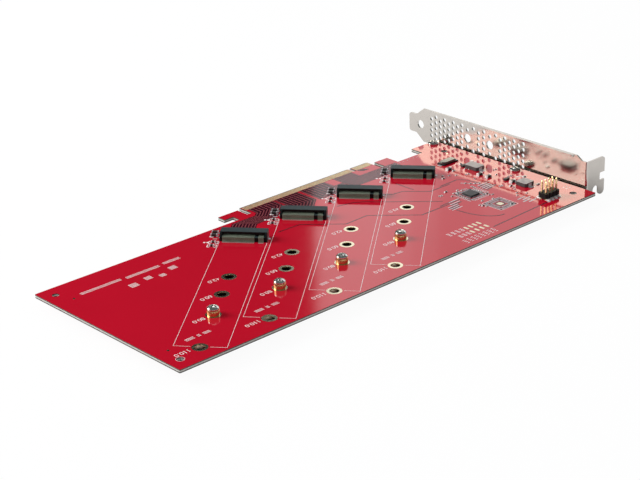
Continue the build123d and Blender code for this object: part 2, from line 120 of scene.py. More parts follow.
class Field:
    """One output socket of a shader tree, with arithmetic that adds Math nodes."""

    def __init__(self, graph: "Graph", socket: bpy.types.NodeSocket) -> None:
        """Keeps the tree and the socket."""
        self.graph = graph
        self.socket = socket

    def _math(self, operation: str, first: "Field | float", second: "Field | float") -> "Field":
        """Adds one Math node."""
        return self.graph.node("ShaderNodeMath", {"operation": operation}, {0: first, 1: second})

    def __add__(self, other: "Field | float") -> "Field":
        """Sum."""
        return self._math("ADD", self, other)

    def __sub__(self, other: "Field | float") -> "Field":
        """Difference."""
        return self._math("SUBTRACT", self, other)

    def __rsub__(self, other: float) -> "Field":
        """Difference from a number."""
        return self._math("SUBTRACT", other, self)

    def __mul__(self, other: "Field | float") -> "Field":
        """Product."""
        return self._math("MULTIPLY", self, other)

    def __gt__(self, other: float) -> "Field":
        """One where the value is greater, else nought."""
        return self._math("GREATER_THAN", self, other)

    __radd__ = __add__
    __rmul__ = __mul__

    def absolute(self) -> "Field":
        """Size without sign."""
        return self._math("ABSOLUTE", self, 0.0)

    def ramp(self, low: float, high: float, first: float = 0.0, last: float = 1.0) -> "Field":
        """Runs smoothly from the first value to the last while the field goes from low to high."""
        inputs = {0: self, 1: low, 2: high, 3: first, 4: last}
        return self.graph.node("ShaderNodeMapRange", {"interpolation_type": "SMOOTHSTEP"}, inputs)


class Graph:
    """The node tree of a material or of the world."""

    def __init__(self, owner: bpy.types.Material | bpy.types.World) -> None:
        """Empties its owner's tree.

        Args:
            owner: the material or world that the tree belongs to.
        """
        owner.use_nodes = True
        self.owner = owner
        self.tree = owner.node_tree
        self.tree.nodes.clear()
        self._place: Field | None = None

    @staticmethod
    def named(name: str) -> "Graph":
        """The empty tree of a new material."""
        return Graph(bpy.data.materials.new(name))

    def node(
        self, kind: str, settings: dict | None = None, inputs: dict | None = None, output: int | str = 0
    ) -> Field:
        """Adds any node.

        Args:
            kind: the node's type.
            settings: its properties, set first.
            inputs: values or fields by the name or number of the socket.
            output: which output the field stands for.

        Returns:
            The field of that output.
        """
        made = self.tree.nodes.new(kind)
        for name, value in (settings or {}).items():
            setattr(made, name, value)
        for name, value in (inputs or {}).items():
            if isinstance(value, Field):
                self.tree.links.new(value.socket, made.inputs[name])
            else:
                made.inputs[name].default_value = value
        return Field(self, made.outputs[output])

    def place(self) -> Field:
        """The point of the surface in the object's own frame.

        Returns:
            The point's field, in millimetres.
        """
        if self._place is None:
            metres = self.node("ShaderNodeTexCoord", output="Object")
            inputs = {0: metres, "Scale": 1 / MM}
            self._place = self.node("ShaderNodeVectorMath", {"operation": "SCALE"}, inputs)
        return self._place

    def part(self, vector: Field, axis: int) -> Field:
        """One coordinate of a vector."""
        return self.node("ShaderNodeSeparateXYZ", inputs={0: vector}, output=axis)

    def stretched(self, vector: Field, scale: Triple) -> Field:
        """The vector with each coordinate scaled."""
        return self.node("ShaderNodeVectorMath", {"operation": "MULTIPLY"}, {0: vector, 1: scale})

    def facing(self, axis: int) -> Field:
        """How far the surface faces along one axis of the object, whatever the sign."""
        normal = self.node("ShaderNodeTexCoord", output="Normal")
        return self.part(normal, axis).absolute()

    def noise(self, per_mm: float, detail: float = 2.0, vector: Field | None = None) -> Field:
        """Smooth noise between nought and one, with this many cells to a millimetre."""
        values = {"Vector": vector or self.place(), "Scale": per_mm, "Detail": detail}
        return self.node("ShaderNodeTexNoise", None, values)

    def mix(self, factor: "Field | float", first: "Field | Colour", second: "Field | Colour") -> Field:
        """Blends two colours.

        Args:
            factor: nought gives the first colour and one the second.
            first: a colour or a field of one.
            second: a colour or a field of one.

        Returns:
            The field of the blended colour.
        """
        colours = [c if isinstance(c, Field) else (*c, 1.0) for c in (first, second)]
        inputs = {0: factor, 6: colours[0], 7: colours[1]}
        return self.node("ShaderNodeMix", {"data_type": "RGBA"}, inputs, 2)

    def bump(self, height: Field, depth: float) -> Field:
        """A normal from a height field, with its depth in millimetres."""
        return self.node("ShaderNodeBump", None, {"Height": height, "Distance": depth * MM, "Strength": 1.0})

    def surface(self, **sockets: "Field | float | Colour") -> bpy.types.Material:
        """Ends the tree with a principled shader.

        Args:
            sockets: values or fields, by the socket's name with underscores.

        Returns:
            The material.
        """
        named = {name.replace("_", " "): value for name, value in sockets.items()}
        shaped = {n: (*v, 1.0) if isinstance(v, tuple) and len(v) == 3 else v for n, v in named.items()}
        self.end(self.node("ShaderNodeBsdfPrincipled", None, shaped))
        return self.owner

    def end(self, shader: Field, kind: str = "ShaderNodeOutputMaterial") -> None:
        """Joins a shader to the tree's output node, which is of this kind."""
        self.tree.links.new(shader.socket, self.tree.nodes.new(kind).inputs["Surface"])


# Finishes


@dataclass(frozen=True)
class SolderMask:
    """Glossy solder mask: two close reds by slow noise, and a gloss that a finer one breaks up slightly."""

    name: str
    colour: Colour
    deep: Colour
    roughness: float = 0.05
    specular: float = 0.5
    tones_per_mm: float = 0.03
    gloss_per_mm: float = 0.35
    gloss_change: float = 0.05

    def tone(self, graph: Graph) -> Field:
        """The colour, mixed in this tree."""
        return graph.mix(graph.noise(self.tones_per_mm, 1.0), self.colour, self.deep)

    def gloss(self, graph: Graph) -> Field:
        """The roughness, made in this tree."""
        return graph.noise(self.gloss_per_mm) * self.gloss_change + self.roughness

    def material(self) -> bpy.types.Material:
        """Dresses what lies flat on the board.

        Returns:
            The material.
        """
        graph = Graph.named(self.name)
        sockets = {"Base_Color": self.tone(graph), "Roughness": self.gloss(graph)}
        return graph.surface(**sockets, IOR=LACQUER_IOR, Specular_IOR_Level=self.specular)


@dataclass(frozen=True)
class BoardFinish:
    """Solder mask on the two faces, and the cut laminate on every edge, bevel and hole wall.

    The cut shows a pale core between dark plies, with a border that fibres make wavy.
    """

    mask: SolderMask = SolderMask("board_mask", (0.50, 0.004, 0.020), (0.45, 0.004, 0.018))
    core: Colour = (0.46, 0.44, 0.40)
    outer_ply: Colour = (0.035, 0.028, 0.026)
    weave: Colour = (0.10, 0.10, 0.08)
    core_low: float = -1.05
    core_high: float = -0.45
    soft_low: float = 0.08
    soft_high: float = 0.12
    fibres_per_mm: float = 1.6
    fibre_stretch: Triple = (1.0, 1.0, 6.0)
    fibre_shift: float = 0.12
    fibres_seen: Point = (0.45, 0.75)
    cut_roughness: float = 0.6
    face_limit: float = 0.97

    def material(self) -> bpy.types.Material:
        """Chooses mask or laminate by how far the surface faces up or down, and the plies by height.

        Returns:
            The material.
        """
        graph = Graph.named("board")
        face = graph.facing(2) > self.face_limit
        stretched = graph.stretched(graph.place(), self.fibre_stretch)
        fibres = graph.noise(self.fibres_per_mm, FINE_DETAIL, stretched)
        height = graph.part(graph.place(), 2) + fibres * self.fibre_shift
        above_low = height.ramp(self.core_low - self.soft_low, self.core_low + self.soft_low)
        below_high = 1.0 - height.ramp(self.core_high, self.core_high + self.soft_high)
        dark = graph.mix(fibres.ramp(*self.fibres_seen), self.outer_ply, self.weave)
        plies = graph.mix(above_low * below_high, dark, self.core)
        colour = graph.mix(face, plies, self.mask.tone(graph))
        rough = face * self.mask.gloss(graph) + (1.0 - face) * self.cut_roughness
        return graph.surface(Base_Color=colour, Roughness=rough, IOR=LACQUER_IOR)


@dataclass(frozen=True)
class Metal:
    """Plated or bare metal: two close tones by slow noise, and a roughness by a finer, stretched one."""

    name: str
    colour: Colour
    worn: Colour
    roughness: float
    grain: Triple = (1.0, 1.0, 1.0)
    grain_per_mm: float = 3.0
    metallic: float = 1.0
    tones_per_mm: float = 0.15
    smoothest: float = 0.7
    grain_share: float = 0.6

    def material(self) -> bpy.types.Material:
        """Mixes the tones, and lets the grain add its share to the smoothest roughness.

        Returns:
            The material.
        """
        graph = Graph.named(self.name)
        grain = graph.noise(self.grain_per_mm, FINE_DETAIL, graph.stretched(graph.place(), self.grain))
        tone = graph.mix(graph.noise(self.tones_per_mm), self.colour, self.worn)
        rough = grain * (self.roughness * self.grain_share) + self.roughness * self.smoothest
        return graph.surface(Base_Color=tone, Metallic=self.metallic, Roughness=rough)


@dataclass(frozen=True)
class Moulding:
    """Moulded plastic or fired body with a fine grain, slight patches, and painted light by facing: upright
    faces get their own darker tone as painted shade.
    """

    name: str
    colour: Colour
    patch: Colour
    roughness: float
    grain_per_mm: float = 6.0
    grain_depth: float = 0.004
    specular: float = 0.5
    # painted shade: side is the darker colour that upright faces get, by how far they face up
    side: Colour | None = None
    shaded_upright_facing: Point = (0.6, 0.9)
    patches_per_mm: float = 0.6
    grain_share: float = 0.12

    def material(self) -> bpy.types.Material:
        """Mixes the tones by noise, paints shade on the upright faces by which way the surface faces, and
        adds a shallow bump.

        Returns:
            The material.
        """
        graph = Graph.named(self.name)
        grain = graph.noise(self.grain_per_mm, FINE_DETAIL)
        tone = graph.mix(graph.noise(self.patches_per_mm), self.colour, self.patch)
        # painted shade: upright faces take the side colour, tops keep their own tone
        if self.side:
            tone = graph.mix(graph.facing(2).ramp(*self.shaded_upright_facing), self.side, tone)
        sockets = {
            "Base_Color": tone,
            "Roughness": grain * self.grain_share + (self.roughness - self.grain_share / 2),
            "Specular_IOR_Level": self.specular,
            "Normal": graph.bump(grain, self.grain_depth),
        }
        return graph.surface(**sockets)


@dataclass(frozen=True)
class Ink:
    """White screen print, a little uneven where it was pressed through the mesh."""

    colour: Colour = (0.86, 0.84, 0.82)
    thin: Colour = (0.80, 0.62, 0.62)
    roughness: float = 0.45
    thin_per_mm: float = 1.8
    thin_seen: Point = (0.35, 0.75)

    def material(self) -> bpy.types.Material:
        """Lets the mask's red show faintly through, by noise.

        Returns:
            The material.
        """
        graph = Graph.named("print_ink")
        thin = graph.noise(self.thin_per_mm, FINE_DETAIL).ramp(*self.thin_seen)
        return graph.surface(Base_Color=graph.mix(thin, self.colour, self.thin), Roughness=self.roughness)


class Slot(Enum):
    """Material slots of the record."""

    BOARD = "board"
    GOLD = "gold"
    PLASTIC = "socket_plastic"
    BRASS = "brass"
    STEEL = "screw_steel"
    NICKEL = "bracket_nickel"
    FERRITE = "ferrite"
    TIN = "tin"
    CHIP = "chip_plastic"
    CERAMIC = "ceramic"


class Dressing:
    """Every material of the card, made once."""

    def __init__(self) -> None:
        """Makes the materials from their finishes."""
        self.board = BoardFinish().material()
        self.copper_mask = SolderMask("mask_over_trace", (0.38, 0.10, 0.11), (0.33, 0.08, 0.09)).material()
        self.bare_mask = SolderMask(
            "mask_over_laminate", (0.034, 0.002, 0.008), (0.042, 0.003, 0.010), specular=0.26
        ).material()
        self.ink = Ink().material()
        self.finger_gold = Metal("finger_gold", (0.80, 0.76, 0.46), (0.66, 0.63, 0.38), 0.36).material()
        self.ring_gold = Metal(
            "ring_gold", (0.90, 0.82, 0.62), (0.80, 0.71, 0.50), 0.17, grain_per_mm=2.0
        ).material()
        self.pin_gold = Metal("pin_gold", (0.86, 0.74, 0.44), (0.76, 0.62, 0.34), 0.24).material()
        self.contact = Metal(
            "contact_gold", (0.32, 0.37, 0.28), (0.22, 0.26, 0.19), 0.5, metallic=0.35
        ).material()
        self.brass = Metal(
            "turned_brass", (0.84, 0.58, 0.26), (0.78, 0.52, 0.22), 0.16, grain=(1.0, 1.0, 8.0)
        ).material()
        self.steel = Metal("screw_nickel", (0.84, 0.84, 0.82), (0.76, 0.76, 0.74), 0.06).material()
        self.nickel = Metal(
            "bracket_nickel", (0.66, 0.61, 0.56), (0.60, 0.56, 0.51), 0.16, grain=(0.4, 0.08, 3.0)
        ).material()
        self.can = Metal(
            "crystal_can", (0.30, 0.31, 0.29), (0.22, 0.23, 0.21), 0.30, grain_per_mm=2.0
        ).material()
        self.solder = Metal(
            "solder", (0.88, 0.88, 0.87), (0.70, 0.70, 0.70), 0.34, metallic=0.45
        ).material()
        self.land = Metal("dull_land", (0.66, 0.61, 0.63), (0.42, 0.38, 0.40), 0.40, metallic=0.5).material()
        self.pale_land = Metal(
            "pale_land", (0.84, 0.78, 0.80), (0.70, 0.62, 0.65), 0.40, metallic=0.3
        ).material()
        # painted light: side= paints the upright faces near black as painted shade, and the teal-grey of the
        # tops is a painted sheen
        self.plastic = Moulding(
            "socket_plastic", (0.022, 0.034, 0.036), (0.034, 0.052, 0.055), 0.36,
            specular=0.14, side=(0.004, 0.005, 0.005),
        ).material()
        self.header = Moulding(
            "header_plastic", (0.006, 0.006, 0.006), (0.012, 0.012, 0.012), 0.5, specular=0.2
        ).material()
        # painted shade: side= paints the upright faces far darker than the top
        self.inductor = Moulding(
            "inductor_body", (0.27, 0.245, 0.24), (0.38, 0.35, 0.33), 0.40,
            grain_per_mm=3.0, grain_depth=0.01, side=(0.055, 0.052, 0.052),
        ).material()
        self.chip = Moulding("chip_plastic", (0.022, 0.024, 0.026), (0.03, 0.03, 0.032), 0.42).material()
        self.dark_body = Moulding(
            "dark_body", (0.014, 0.013, 0.013), (0.03, 0.026, 0.024), 0.4, grain_per_mm=2.0
        ).material()

    def of_node(self, node: str, slot: Slot) -> bpy.types.Material:
        """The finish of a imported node: its own where it differs from the rest of its slot, else the slot's.

        Args:
            node: the node's name.
            slot: the slot that the record gives it.

        Returns:
            The material.
        """
        own = {
            "crystal_can": self.can,
            "bypass_capacitor_caps": self.land,
            "header_base": self.header,
            "header_pins": self.pin_gold,
        }
        of_slot = {
            Slot.BOARD: self.board,
            Slot.GOLD: self.finger_gold,
            Slot.PLASTIC: self.plastic,
            Slot.BRASS: self.brass,
            Slot.STEEL: self.steel,
            Slot.NICKEL: self.nickel,
            Slot.FERRITE: self.inductor,
            Slot.TIN: self.solder,
            Slot.CHIP: self.chip,
            Slot.CERAMIC: self.dark_body,
        }
        return own.get(node) or of_slot[slot]


# Surfaces worked out with arrays


@dataclass
class Surface:
    """Points in millimetres, and faces as rows of point numbers."""

    points: Array
    faces: list[Array]

    @staticmethod
    def joined(parts: list["Surface"]) -> "Surface":
        """One surface from several.

        Args:
            parts: the surfaces.

        Returns:
            A surface with every point and every face, the faces renumbered.
        """
        starts = np.cumsum([0] + [len(part.points) for part in parts[:-1]])
        faces = [face + start for part, start in zip(parts, starts) for face in part.faces]
        return Surface(np.concatenate([part.points for part in parts]), faces)

    def repeated(self, offsets: Array) -> "Surface":
        """A copy at each offset: every point plus every offset.

        Args:
            offsets: rows of x, y and z.

        Returns:
            The copies, with their faces renumbered.
        """
        offsets = np.asarray(offsets, float).reshape(-1, 3)
        points = (offsets[:, None, :] + self.points[None, :, :]).reshape(-1, 3)
        starts = np.arange(len(offsets)) * len(self.points)
        faces = [(face[None] + starts[:, None, None]).reshape(-1, face.shape[1]) for face in self.faces]
        return Surface(points, faces)

    def turned(self, degrees: float) -> "Surface":
        """The surface turned about Z.

        Args:
            degrees: how far, from +X towards +Y.

        Returns:
            The turned surface.
        """
        cosine, sine = math.cos(math.radians(degrees)), math.sin(math.radians(degrees))
        matrix = np.array([[cosine, -sine, 0], [sine, cosine, 0], [0, 0, 1]])
        return Surface(self.points @ matrix.T, self.faces)

    def moved(self, x: float, y: float, z: float = 0.0) -> "Surface":
        """The surface moved."""
        return Surface(self.points + np.array([x, y, z]), self.faces)


def spots(places: list[Point] | Array, z: float = 0.0) -> Array:
    """Rows of x, y and one height."""
    flat = np.array(places, float).reshape(-1, 2)
    return np.column_stack([flat, np.full(len(flat), z)])


def grid(points: Array, close_rows: bool = False, close_columns: bool = False) -> Surface:
    """Joins a two-parameter grid of points with four-sided faces.

    Args:
        points: rows by columns by three.
        close_rows: whether the last row meets the first.
        close_columns: whether the last column meets the first.

    Returns:
        The surface, where face (r, c) joins rows r, r + 1 and columns c, c + 1, counted round where closed.
    """
    rows, columns = points.shape[:2]
    r = np.arange(rows if close_rows else rows - 1)[:, None]
    c = np.arange(columns if close_columns else columns - 1)[None, :]
    below, beside = (r + 1) % rows, (c + 1) % columns
    corners = [r * columns + c, r * columns + beside, below * columns + beside, below * columns + c]
    faces = np.stack(np.broadcast_arrays(*corners), -1).reshape(-1, 4)
    return Surface(points.reshape(-1, 3), [faces])


def turned_points(radius: Array, height: Array, sides: int) -> Array:
    """Turns a profile about Z: x = r cos t, y = r sin t, z = z, with t round the circle.

    Args:
        radius: the profile's distances from the axis.
        height: its heights.
        sides: how many steps the circle has.

    Returns:
        A row of points round the axis for each point of the profile.
    """
    turn = np.linspace(0, 2 * np.pi, sides, endpoint=False)[None, :]
    x = radius[:, None] * np.cos(turn)
    y = radius[:, None] * np.sin(turn)
    return np.stack([x, y, np.broadcast_to(height[:, None], x.shape)], -1)


def turned_profile(profile: list[Point], sides: int = 48, closed: bool = False) -> Surface:
    """The surface that a profile makes when it turns about Z.

    Args:
        profile: radius and height pairs, from the axis to the axis, or a closed loop.
        sides: how many steps the circle has.
        closed: whether the profile is a loop.

    Returns:
        The turned surface.
    """
    radius, height = np.array(profile, float).T
    return grid(turned_points(radius, height, sides), close_rows=closed, close_columns=True)


def shifted(path: list[Point] | Array, distance: float, closed: bool = False) -> Array:
    """Moves a path sideways on the board, keeping its distance through each corner.

    At each point the sideways step is the sum of the two neighbouring unit normals over one plus their
    product, which is the mitre of that corner.

    Args:
        path: the points of the line.
        distance: how far to its left.
        closed: whether the path is a loop.

    Returns:
        The moved points.
    """
    line = np.array(path, float)
    steps = np.roll(line, -1, 0) - line
    along = steps / np.maximum(np.linalg.norm(steps, axis=1, keepdims=True), SHORTEST_STEP)
    normal = np.stack([-along[:, 1], along[:, 0]], -1)
    before = np.roll(normal, 1, 0)
    if not closed:
        before[0] = normal[0]
        normal[-1] = before[-1]
    spread = np.maximum(1 + np.sum(before * normal, 1, keepdims=True), SHARPEST_MITRE)
    return line + (before + normal) / spread * distance


def plate_between(left: Array, right: Array, low: float, high: float, closed: bool = False) -> Surface:
    """A flat plate between two paths: an upright rectangle stands across them at each of their points.

    Args:
        left: the points of one side.
        right: as many points of the other.
        low: height of the underside.
        high: height of the top.
        closed: whether the paths are loops.

    Returns:
        The closed plate.
    """
    sides = [(left, low), (right, low), (right, high), (left, high)]
    rings = np.stack([spots(side, z) for side, z in sides], 1)
    body = grid(rings, close_rows=closed, close_columns=True)
    if not closed:
        last = (len(left) - 1) * 4
        caps = np.array([[0, 1, 2, 3], [last + 3, last + 2, last + 1, last]])
        body.faces[0] = np.concatenate([body.faces[0], caps])
    return body


def ribbon(path: list[Point] | Array, width: float, low: float, high: float, closed: bool = False) -> Surface:
    """Carries a flat rectangle along a path on the board, with mitred corners.

    Args:
        path: the points of the middle line.
        width: the width across.
        low: height of the underside.
        high: height of the top.
        closed: whether the path is a loop.

    Returns:
        The closed surface.
    """
    left, right = shifted(path, width / 2, closed), shifted(path, -width / 2, closed)
    return plate_between(left, right, low, high, closed)


def thickened(outline: Array, low: float, high: float) -> Surface:
    """A flat plate: an outline at two heights, joined by its walls, with a face above and below.

    Args:
        outline: points round the plate.
        low: height of the underside.
        high: height of the top.

    Returns:
        The closed plate.
    """
    count = len(outline)
    points = np.concatenate([spots(outline, z) for z in (low, high)])
    n = np.arange(count)
    after = (n + 1) % count
    walls = np.stack([n, after, after + count, n + count], -1)
    return Surface(points, [walls, n[None, ::-1], n[None] + count])


def rounded_outline(length: float, width: float, radius: float, steps: int = 4) -> Array:
    """A rectangle with round corners: each corner is a quarter turn of points about its own centre.

    Args:
        length: size along X.
        width: size along Y.
        radius: radius of the corners.
        steps: how many points each corner has.

    Returns:
        The points round the outline.
    """
    turn = np.linspace(0, np.pi / 2, steps)[None, :] + np.arange(4)[:, None] * np.pi / 2
    signs = np.array([(1, 1), (-1, 1), (-1, -1), (1, -1)])[:, None, :]
    centres = signs * np.array([length / 2 - radius, width / 2 - radius])
    return (centres + radius * np.stack([np.cos(turn), np.sin(turn)], -1)).reshape(-1, 2)


def square_outline(centre: Point, size: float, radius: float) -> Array:
    """A square about a centre, with each corner cut off by one straight line."""
    return rounded_outline(size, size, radius, 2) + np.array(centre)


def blocks(centres: Array, size: Triple, degrees: float = 0.0) -> Surface:
    """Flat-sided pads of one size: the eight corners of a block, turned about Z, at each centre.

    Args:
        centres: rows of x, y and the height of the underside.
        size: length, width and height.
        degrees: turn of each block about its own middle.

    Returns:
        The closed blocks.
    """
    x, y, z = size[0] / 2, size[1] / 2, size[2]
    low = [(-x, -y, 0), (x, -y, 0), (x, y, 0), (-x, y, 0)]
    points = np.array(low + [(a, b, z) for a, b, _ in low])
    faces = np.array([[3, 2, 1, 0], [4, 5, 6, 7], [0, 1, 5, 4], [1, 2, 6, 5], [2, 3, 7, 6], [3, 0, 4, 7]])
    return Surface(points, [faces]).turned(degrees).repeated(centres)


def swept(path: list[Point], width: float, thickness: float) -> Surface:
    """A bent strip: a path in the X-Z plane, made thick along its normals and wide along Y.

    Args:
        path: x and z of the strip's middle line.
        width: width along Y.
        thickness: sheet thickness.

    Returns:
        The closed strip.
    """
    flat = ribbon(path, thickness, -width / 2, width / 2)
    return Surface(flat.points[:, [0, 2, 1]], flat.faces)


# Objects


def mesh_of(name: str, surface: Surface, material: bpy.types.Material) -> bpy.types.Mesh:
    """A mesh in metres from a surface in millimetres.

    Args:
        name: the mesh's name.
        surface: its points and faces.
        material: its finish.

    Returns:
        The mesh.
    """
    mesh = bpy.data.meshes.new(name)
    faces = [face for group in surface.faces for face in group.tolist()]
    mesh.from_pydata((surface.points * MM).tolist(), [], faces)
    mesh.materials.append(material)
    return mesh


def in_scene(name: str, data: bpy.types.ID) -> bpy.types.Object:
    """Puts an object with this data into the scene.

    Args:
        name: the object's name.
        data: its mesh, lamp or camera.

    Returns:
        The object.
    """
    made = bpy.data.objects.new(name, data)
    bpy.context.scene.collection.objects.link(made)
    return made


def add_piece(
    name: str, surface: Surface, material: bpy.types.Material, smooth: float = 30.0
) -> bpy.types.Object:
    """Puts a surface into the scene, in place, has it ride with the card and reports it.

    Args:
        name: the object's name.
        surface: its points and faces.
        material: its finish.
        smooth: edges flatter than this many degrees are shaded round.

    Returns:
        The object.
    """
    mesh = mesh_of(name, surface, material)
    work = bmesh.new()
    work.from_mesh(mesh)
    bmesh.ops.remove_doubles(work, verts=work.verts, dist=MERGE_METRES)
    bmesh.ops.recalc_face_normals(work, faces=work.faces)
    work.to_mesh(mesh)
    work.free()
    mesh.shade_smooth()
    mesh.set_sharp_from_angle(angle=math.radians(smooth))
    made = in_scene(name, mesh)
    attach(made, BODY)
    LOG.info("%s: %d faces", name, len(mesh.polygons))
    return made


# What the frame says


@dataclass
class ModuleLine:
    """One module's place: its datum, and its directions in the plane of the board."""

    datum: Array
    inward: Array
    across: Array

    @staticmethod
    def read(record: dict) -> list["ModuleLine"]:
        """Finds the module places among the record's mounts.

        Args:
            record: the frame's record.

        Returns:
            The places, in order from the free end.
        """
        lines = []
        for mount in record["mounts"]:
            if mount["name"].startswith("module_socket_place"):
                datum = np.array(mount["pos_m"][:2]) / MM
                inward = -np.array(mount["axis"][:2])
                lines.append(ModuleLine(datum, inward, np.array([inward[1], -inward[0]])))
        return lines

    def point(self, distance: float, offset: float = 0.0) -> Array:
        """The point at a distance from the datum towards the free end, and an offset across."""
        return self.datum - self.inward * distance + self.across * offset

    @property
    def degrees(self) -> float:
        """Turn of the direction across, about Z."""
        return math.degrees(math.atan2(self.across[1], self.across[0]))

    def placed(self, surface: Surface) -> Surface:
        """Turns and moves a surface drawn with X across the module and Y inward from its datum."""
        return surface.turned(self.degrees).moved(*self.datum)


# Sub-assemblies


@dataclass
class RingPads:
    """Plated rings of the module holes on both sides of the board, with their plated walls."""

    lines: list[ModuleLine]
    hole_radius: float = 2.235
    wall: float = 0.06
    ring_radius: float = 3.45
    edge: float = 0.012

    def build(self, dressing: Dressing) -> None:
        """Turns one eyelet for the open holes and one flat ring for the fitted ones.

        Args:
            dressing: the card's materials.
        """
        hole, outer, deep = self.hole_radius, self.ring_radius, -BOARD_THICKNESS
        inner, rim = hole - self.wall, outer - self.edge
        lip = inner + self.edge
        eyelet = turned_profile(
            [(lip, PLATING), (rim, PLATING), (outer, 0.0), (hole, 0.0), (hole, deep), (outer, deep),
             (rim, deep - PLATING), (lip, deep - PLATING), (inner, deep), (inner, 0.0)],
            closed=True,
        )
        centres = [line.point(length) for line in self.lines for length in OPEN_LENGTHS]
        add_piece("module_hole_rings", eyelet.repeated(spots(centres)), dressing.ring_gold)
        clear = hole + self.wall
        ring = turned_profile([(clear, PLATING), (rim, PLATING), (outer, 0.0), (clear, 0.0)], closed=True)
        fitted = [line.point(FITTED_LENGTH) for line in self.lines]
        add_piece("standoff_rings", ring.repeated(spots(fitted)), dressing.ring_gold)


@dataclass
class Standoffs:
    """Turned brass standoffs: a barrel with a bevelled top, and a stud that goes through the board."""

    lines: list[ModuleLine]
    height: float = 2.5
    barrel: float = 2.75
    bevel: float = 0.16
    bevel_round: float = 0.3
    stud: float = 2.15
    stud_low: float = -3.0
    tip_step: float = 0.25
    tip_length: float = 0.2
    screw_bore: float = 1.05
    bore_depth: float = 2.0
    thread_pitch: float = 0.35
    thread_depth: float = 0.12
    sides: int = 56

    def build(self, dressing: Dressing) -> None:
        """Turns the profile from the tip of the stud up to the bore, with threads below the board's top.

        Args:
            dressing: the card's materials.
        """
        bevel, top, bore_end = self.bevel, self.height, self.height - self.bore_depth
        half_way = bevel * self.bevel_round
        threads = np.arange(self.stud_low + self.tip_length, -BOARD_THICKNESS, self.thread_pitch / 2)
        stud = [(self.stud - self.thread_depth * (n % 2), float(z)) for n, z in enumerate(threads)]
        profile = [
            (0.0, self.stud_low), (self.stud - self.tip_step, self.stud_low), *stud, (self.stud, 0.0),
            (self.barrel, 0.0), (self.barrel, top - bevel), (self.barrel - half_way, top - half_way),
            (self.barrel - bevel, top), (self.screw_bore + bevel, top), (self.screw_bore, top - bevel),
            (self.screw_bore, bore_end), (0.0, bore_end),
        ]
        centres = spots([line.point(FITTED_LENGTH) for line in self.lines])
        shape = turned_profile(profile, self.sides).repeated(centres)
        made = add_piece("standoffs", shape, dressing.brass)
        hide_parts("module_standoffs")


@dataclass
class Screws:
    """Pan head screws with a cross recess."""

    name: str
    node: str
    places: list[Array]
    seat: float
    head: float
    height: float
    shank: float
    reach: float
    turns: tuple[float, ...] = (12.0, 64.0, 38.0, 81.0)
    dome: float = 0.60
    dome_power: float = 2.6
    recess: float = 0.62
    arm: float = 0.36
    recess_depth: float = 0.66
    recess_soft: float = 0.10
    rim: float = 0.08
    foot_share: float = 0.96
    crown_share: float = 0.985
    tip_share: float = 0.8
    tip_length: float = 0.2
    sides: int = 96
    rings: int = 40

    @staticmethod
    def module(lines: list[ModuleLine]) -> "Screws":
        """The four screws in the standoffs.

        Args:
            lines: the module places.

        Returns:
            The screws.
        """
        places = [line.point(FITTED_LENGTH) for line in lines]
        sizes = {"seat": 2.5, "head": 2.6, "height": 1.8, "shank": 0.98, "reach": 1.9}
        return Screws("module_screw_heads", "module_screws", places, **sizes)

    @staticmethod
    def bracket() -> "Screws":
        """The two screws that hold the board to the ears of the bracket.

        Returns:
            The screws.
        """
        places = [np.array([55.8, -6.6]), np.array([55.8, -62.9])]
        sizes = {"seat": 0.0, "head": 2.75, "height": 1.9, "shank": 1.45, "reach": 2.9}
        return Screws("bracket_screw_heads", "bracket_screws", places, **sizes)

    def _crown(self) -> Array:
        """The top of the head, as rings from its edge to its middle.

        The head's height at radius r falls from the crown by the dome's share of a power of r, and
        the recess takes its depth away inside a cross: a point is in the cross where the nearer of its two
        coordinates is under half an arm, and its radius under the recess's.

        Returns:
            The points, ring by ring.
        """
        radius = np.linspace(self.head * self.crown_share, 0.0, self.rings)
        points = turned_points(radius, np.full(self.rings, self.seat), self.sides)
        x, y = points[..., 0], points[..., 1]
        nearer = np.minimum(np.abs(x), np.abs(y))
        inside = np.clip((self.head * self.arm / 2 - nearer) / self.recess_soft + 0.5, 0, 1)
        left_over = self.head * self.recess - np.hypot(x, y)
        inside = inside * np.clip(left_over / (2 * self.recess_soft) + 0.5, 0, 1)
        fall = self.dome * (radius[:, None] / self.head) ** self.dome_power
        points[..., 2] += self.height * (1 - fall) - inside * self.height * self.recess_depth
        return points

    def _below(self) -> Array:
        """The shank from its tip up, and the side of the head, as rings.

        Returns:
            The points, ring by ring.
        """
        low, shoulder = self.seat - self.reach, self.seat + self.height * (1 - self.dome) - self.rim
        profile = [
            (0.0, low), (self.shank * self.tip_share, low), (self.shank, low + self.tip_length),
            (self.shank, self.seat), (self.head * self.foot_share, self.seat),
            (self.head, self.seat + self.rim), (self.head, shoulder),
        ]
        radius, height = np.array(profile).T
        return turned_points(radius, height, self.sides)

    def build(self, dressing: Dressing) -> None:
        """Stands a turned copy of the screw at each place.

        Args:
            dressing: the card's materials.
        """
        screw = grid(np.concatenate([self._below(), self._crown()]), close_columns=True)
        parts = [screw.turned(turn).moved(*place) for place, turn in zip(self.places, self.turns)]
        made = add_piece(self.name, Surface.joined(parts), dressing.steel, smooth=38.0)
        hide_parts(self.node)


@dataclass
class BracketLip:
    """The short lip along the bracket's top, folded over the board."""

    face_x: float = 61.4
    depth: float = 1.3
    sheet: float = 0.86
    hidden: float = 0.5
    top: float = 15.24
    start: float = -95.4
    end: float = -0.4
    corner: float = 0.8

    def build(self, dressing: Dressing) -> None:
        """A flat plate with round corners, whose back edge lies inside the upright sheet.

        Args:
            dressing: the card's materials.
        """
        width, length = self.depth + self.hidden, self.end - self.start
        outline = rounded_outline(width, length, self.corner, steps=6)
        centre = (self.face_x + self.hidden - width / 2, (self.start + self.end) / 2)
        plate = thickened(outline, self.top - self.sheet, self.top).moved(*centre)
        add_piece("bracket_lip", plate, dressing.nickel)


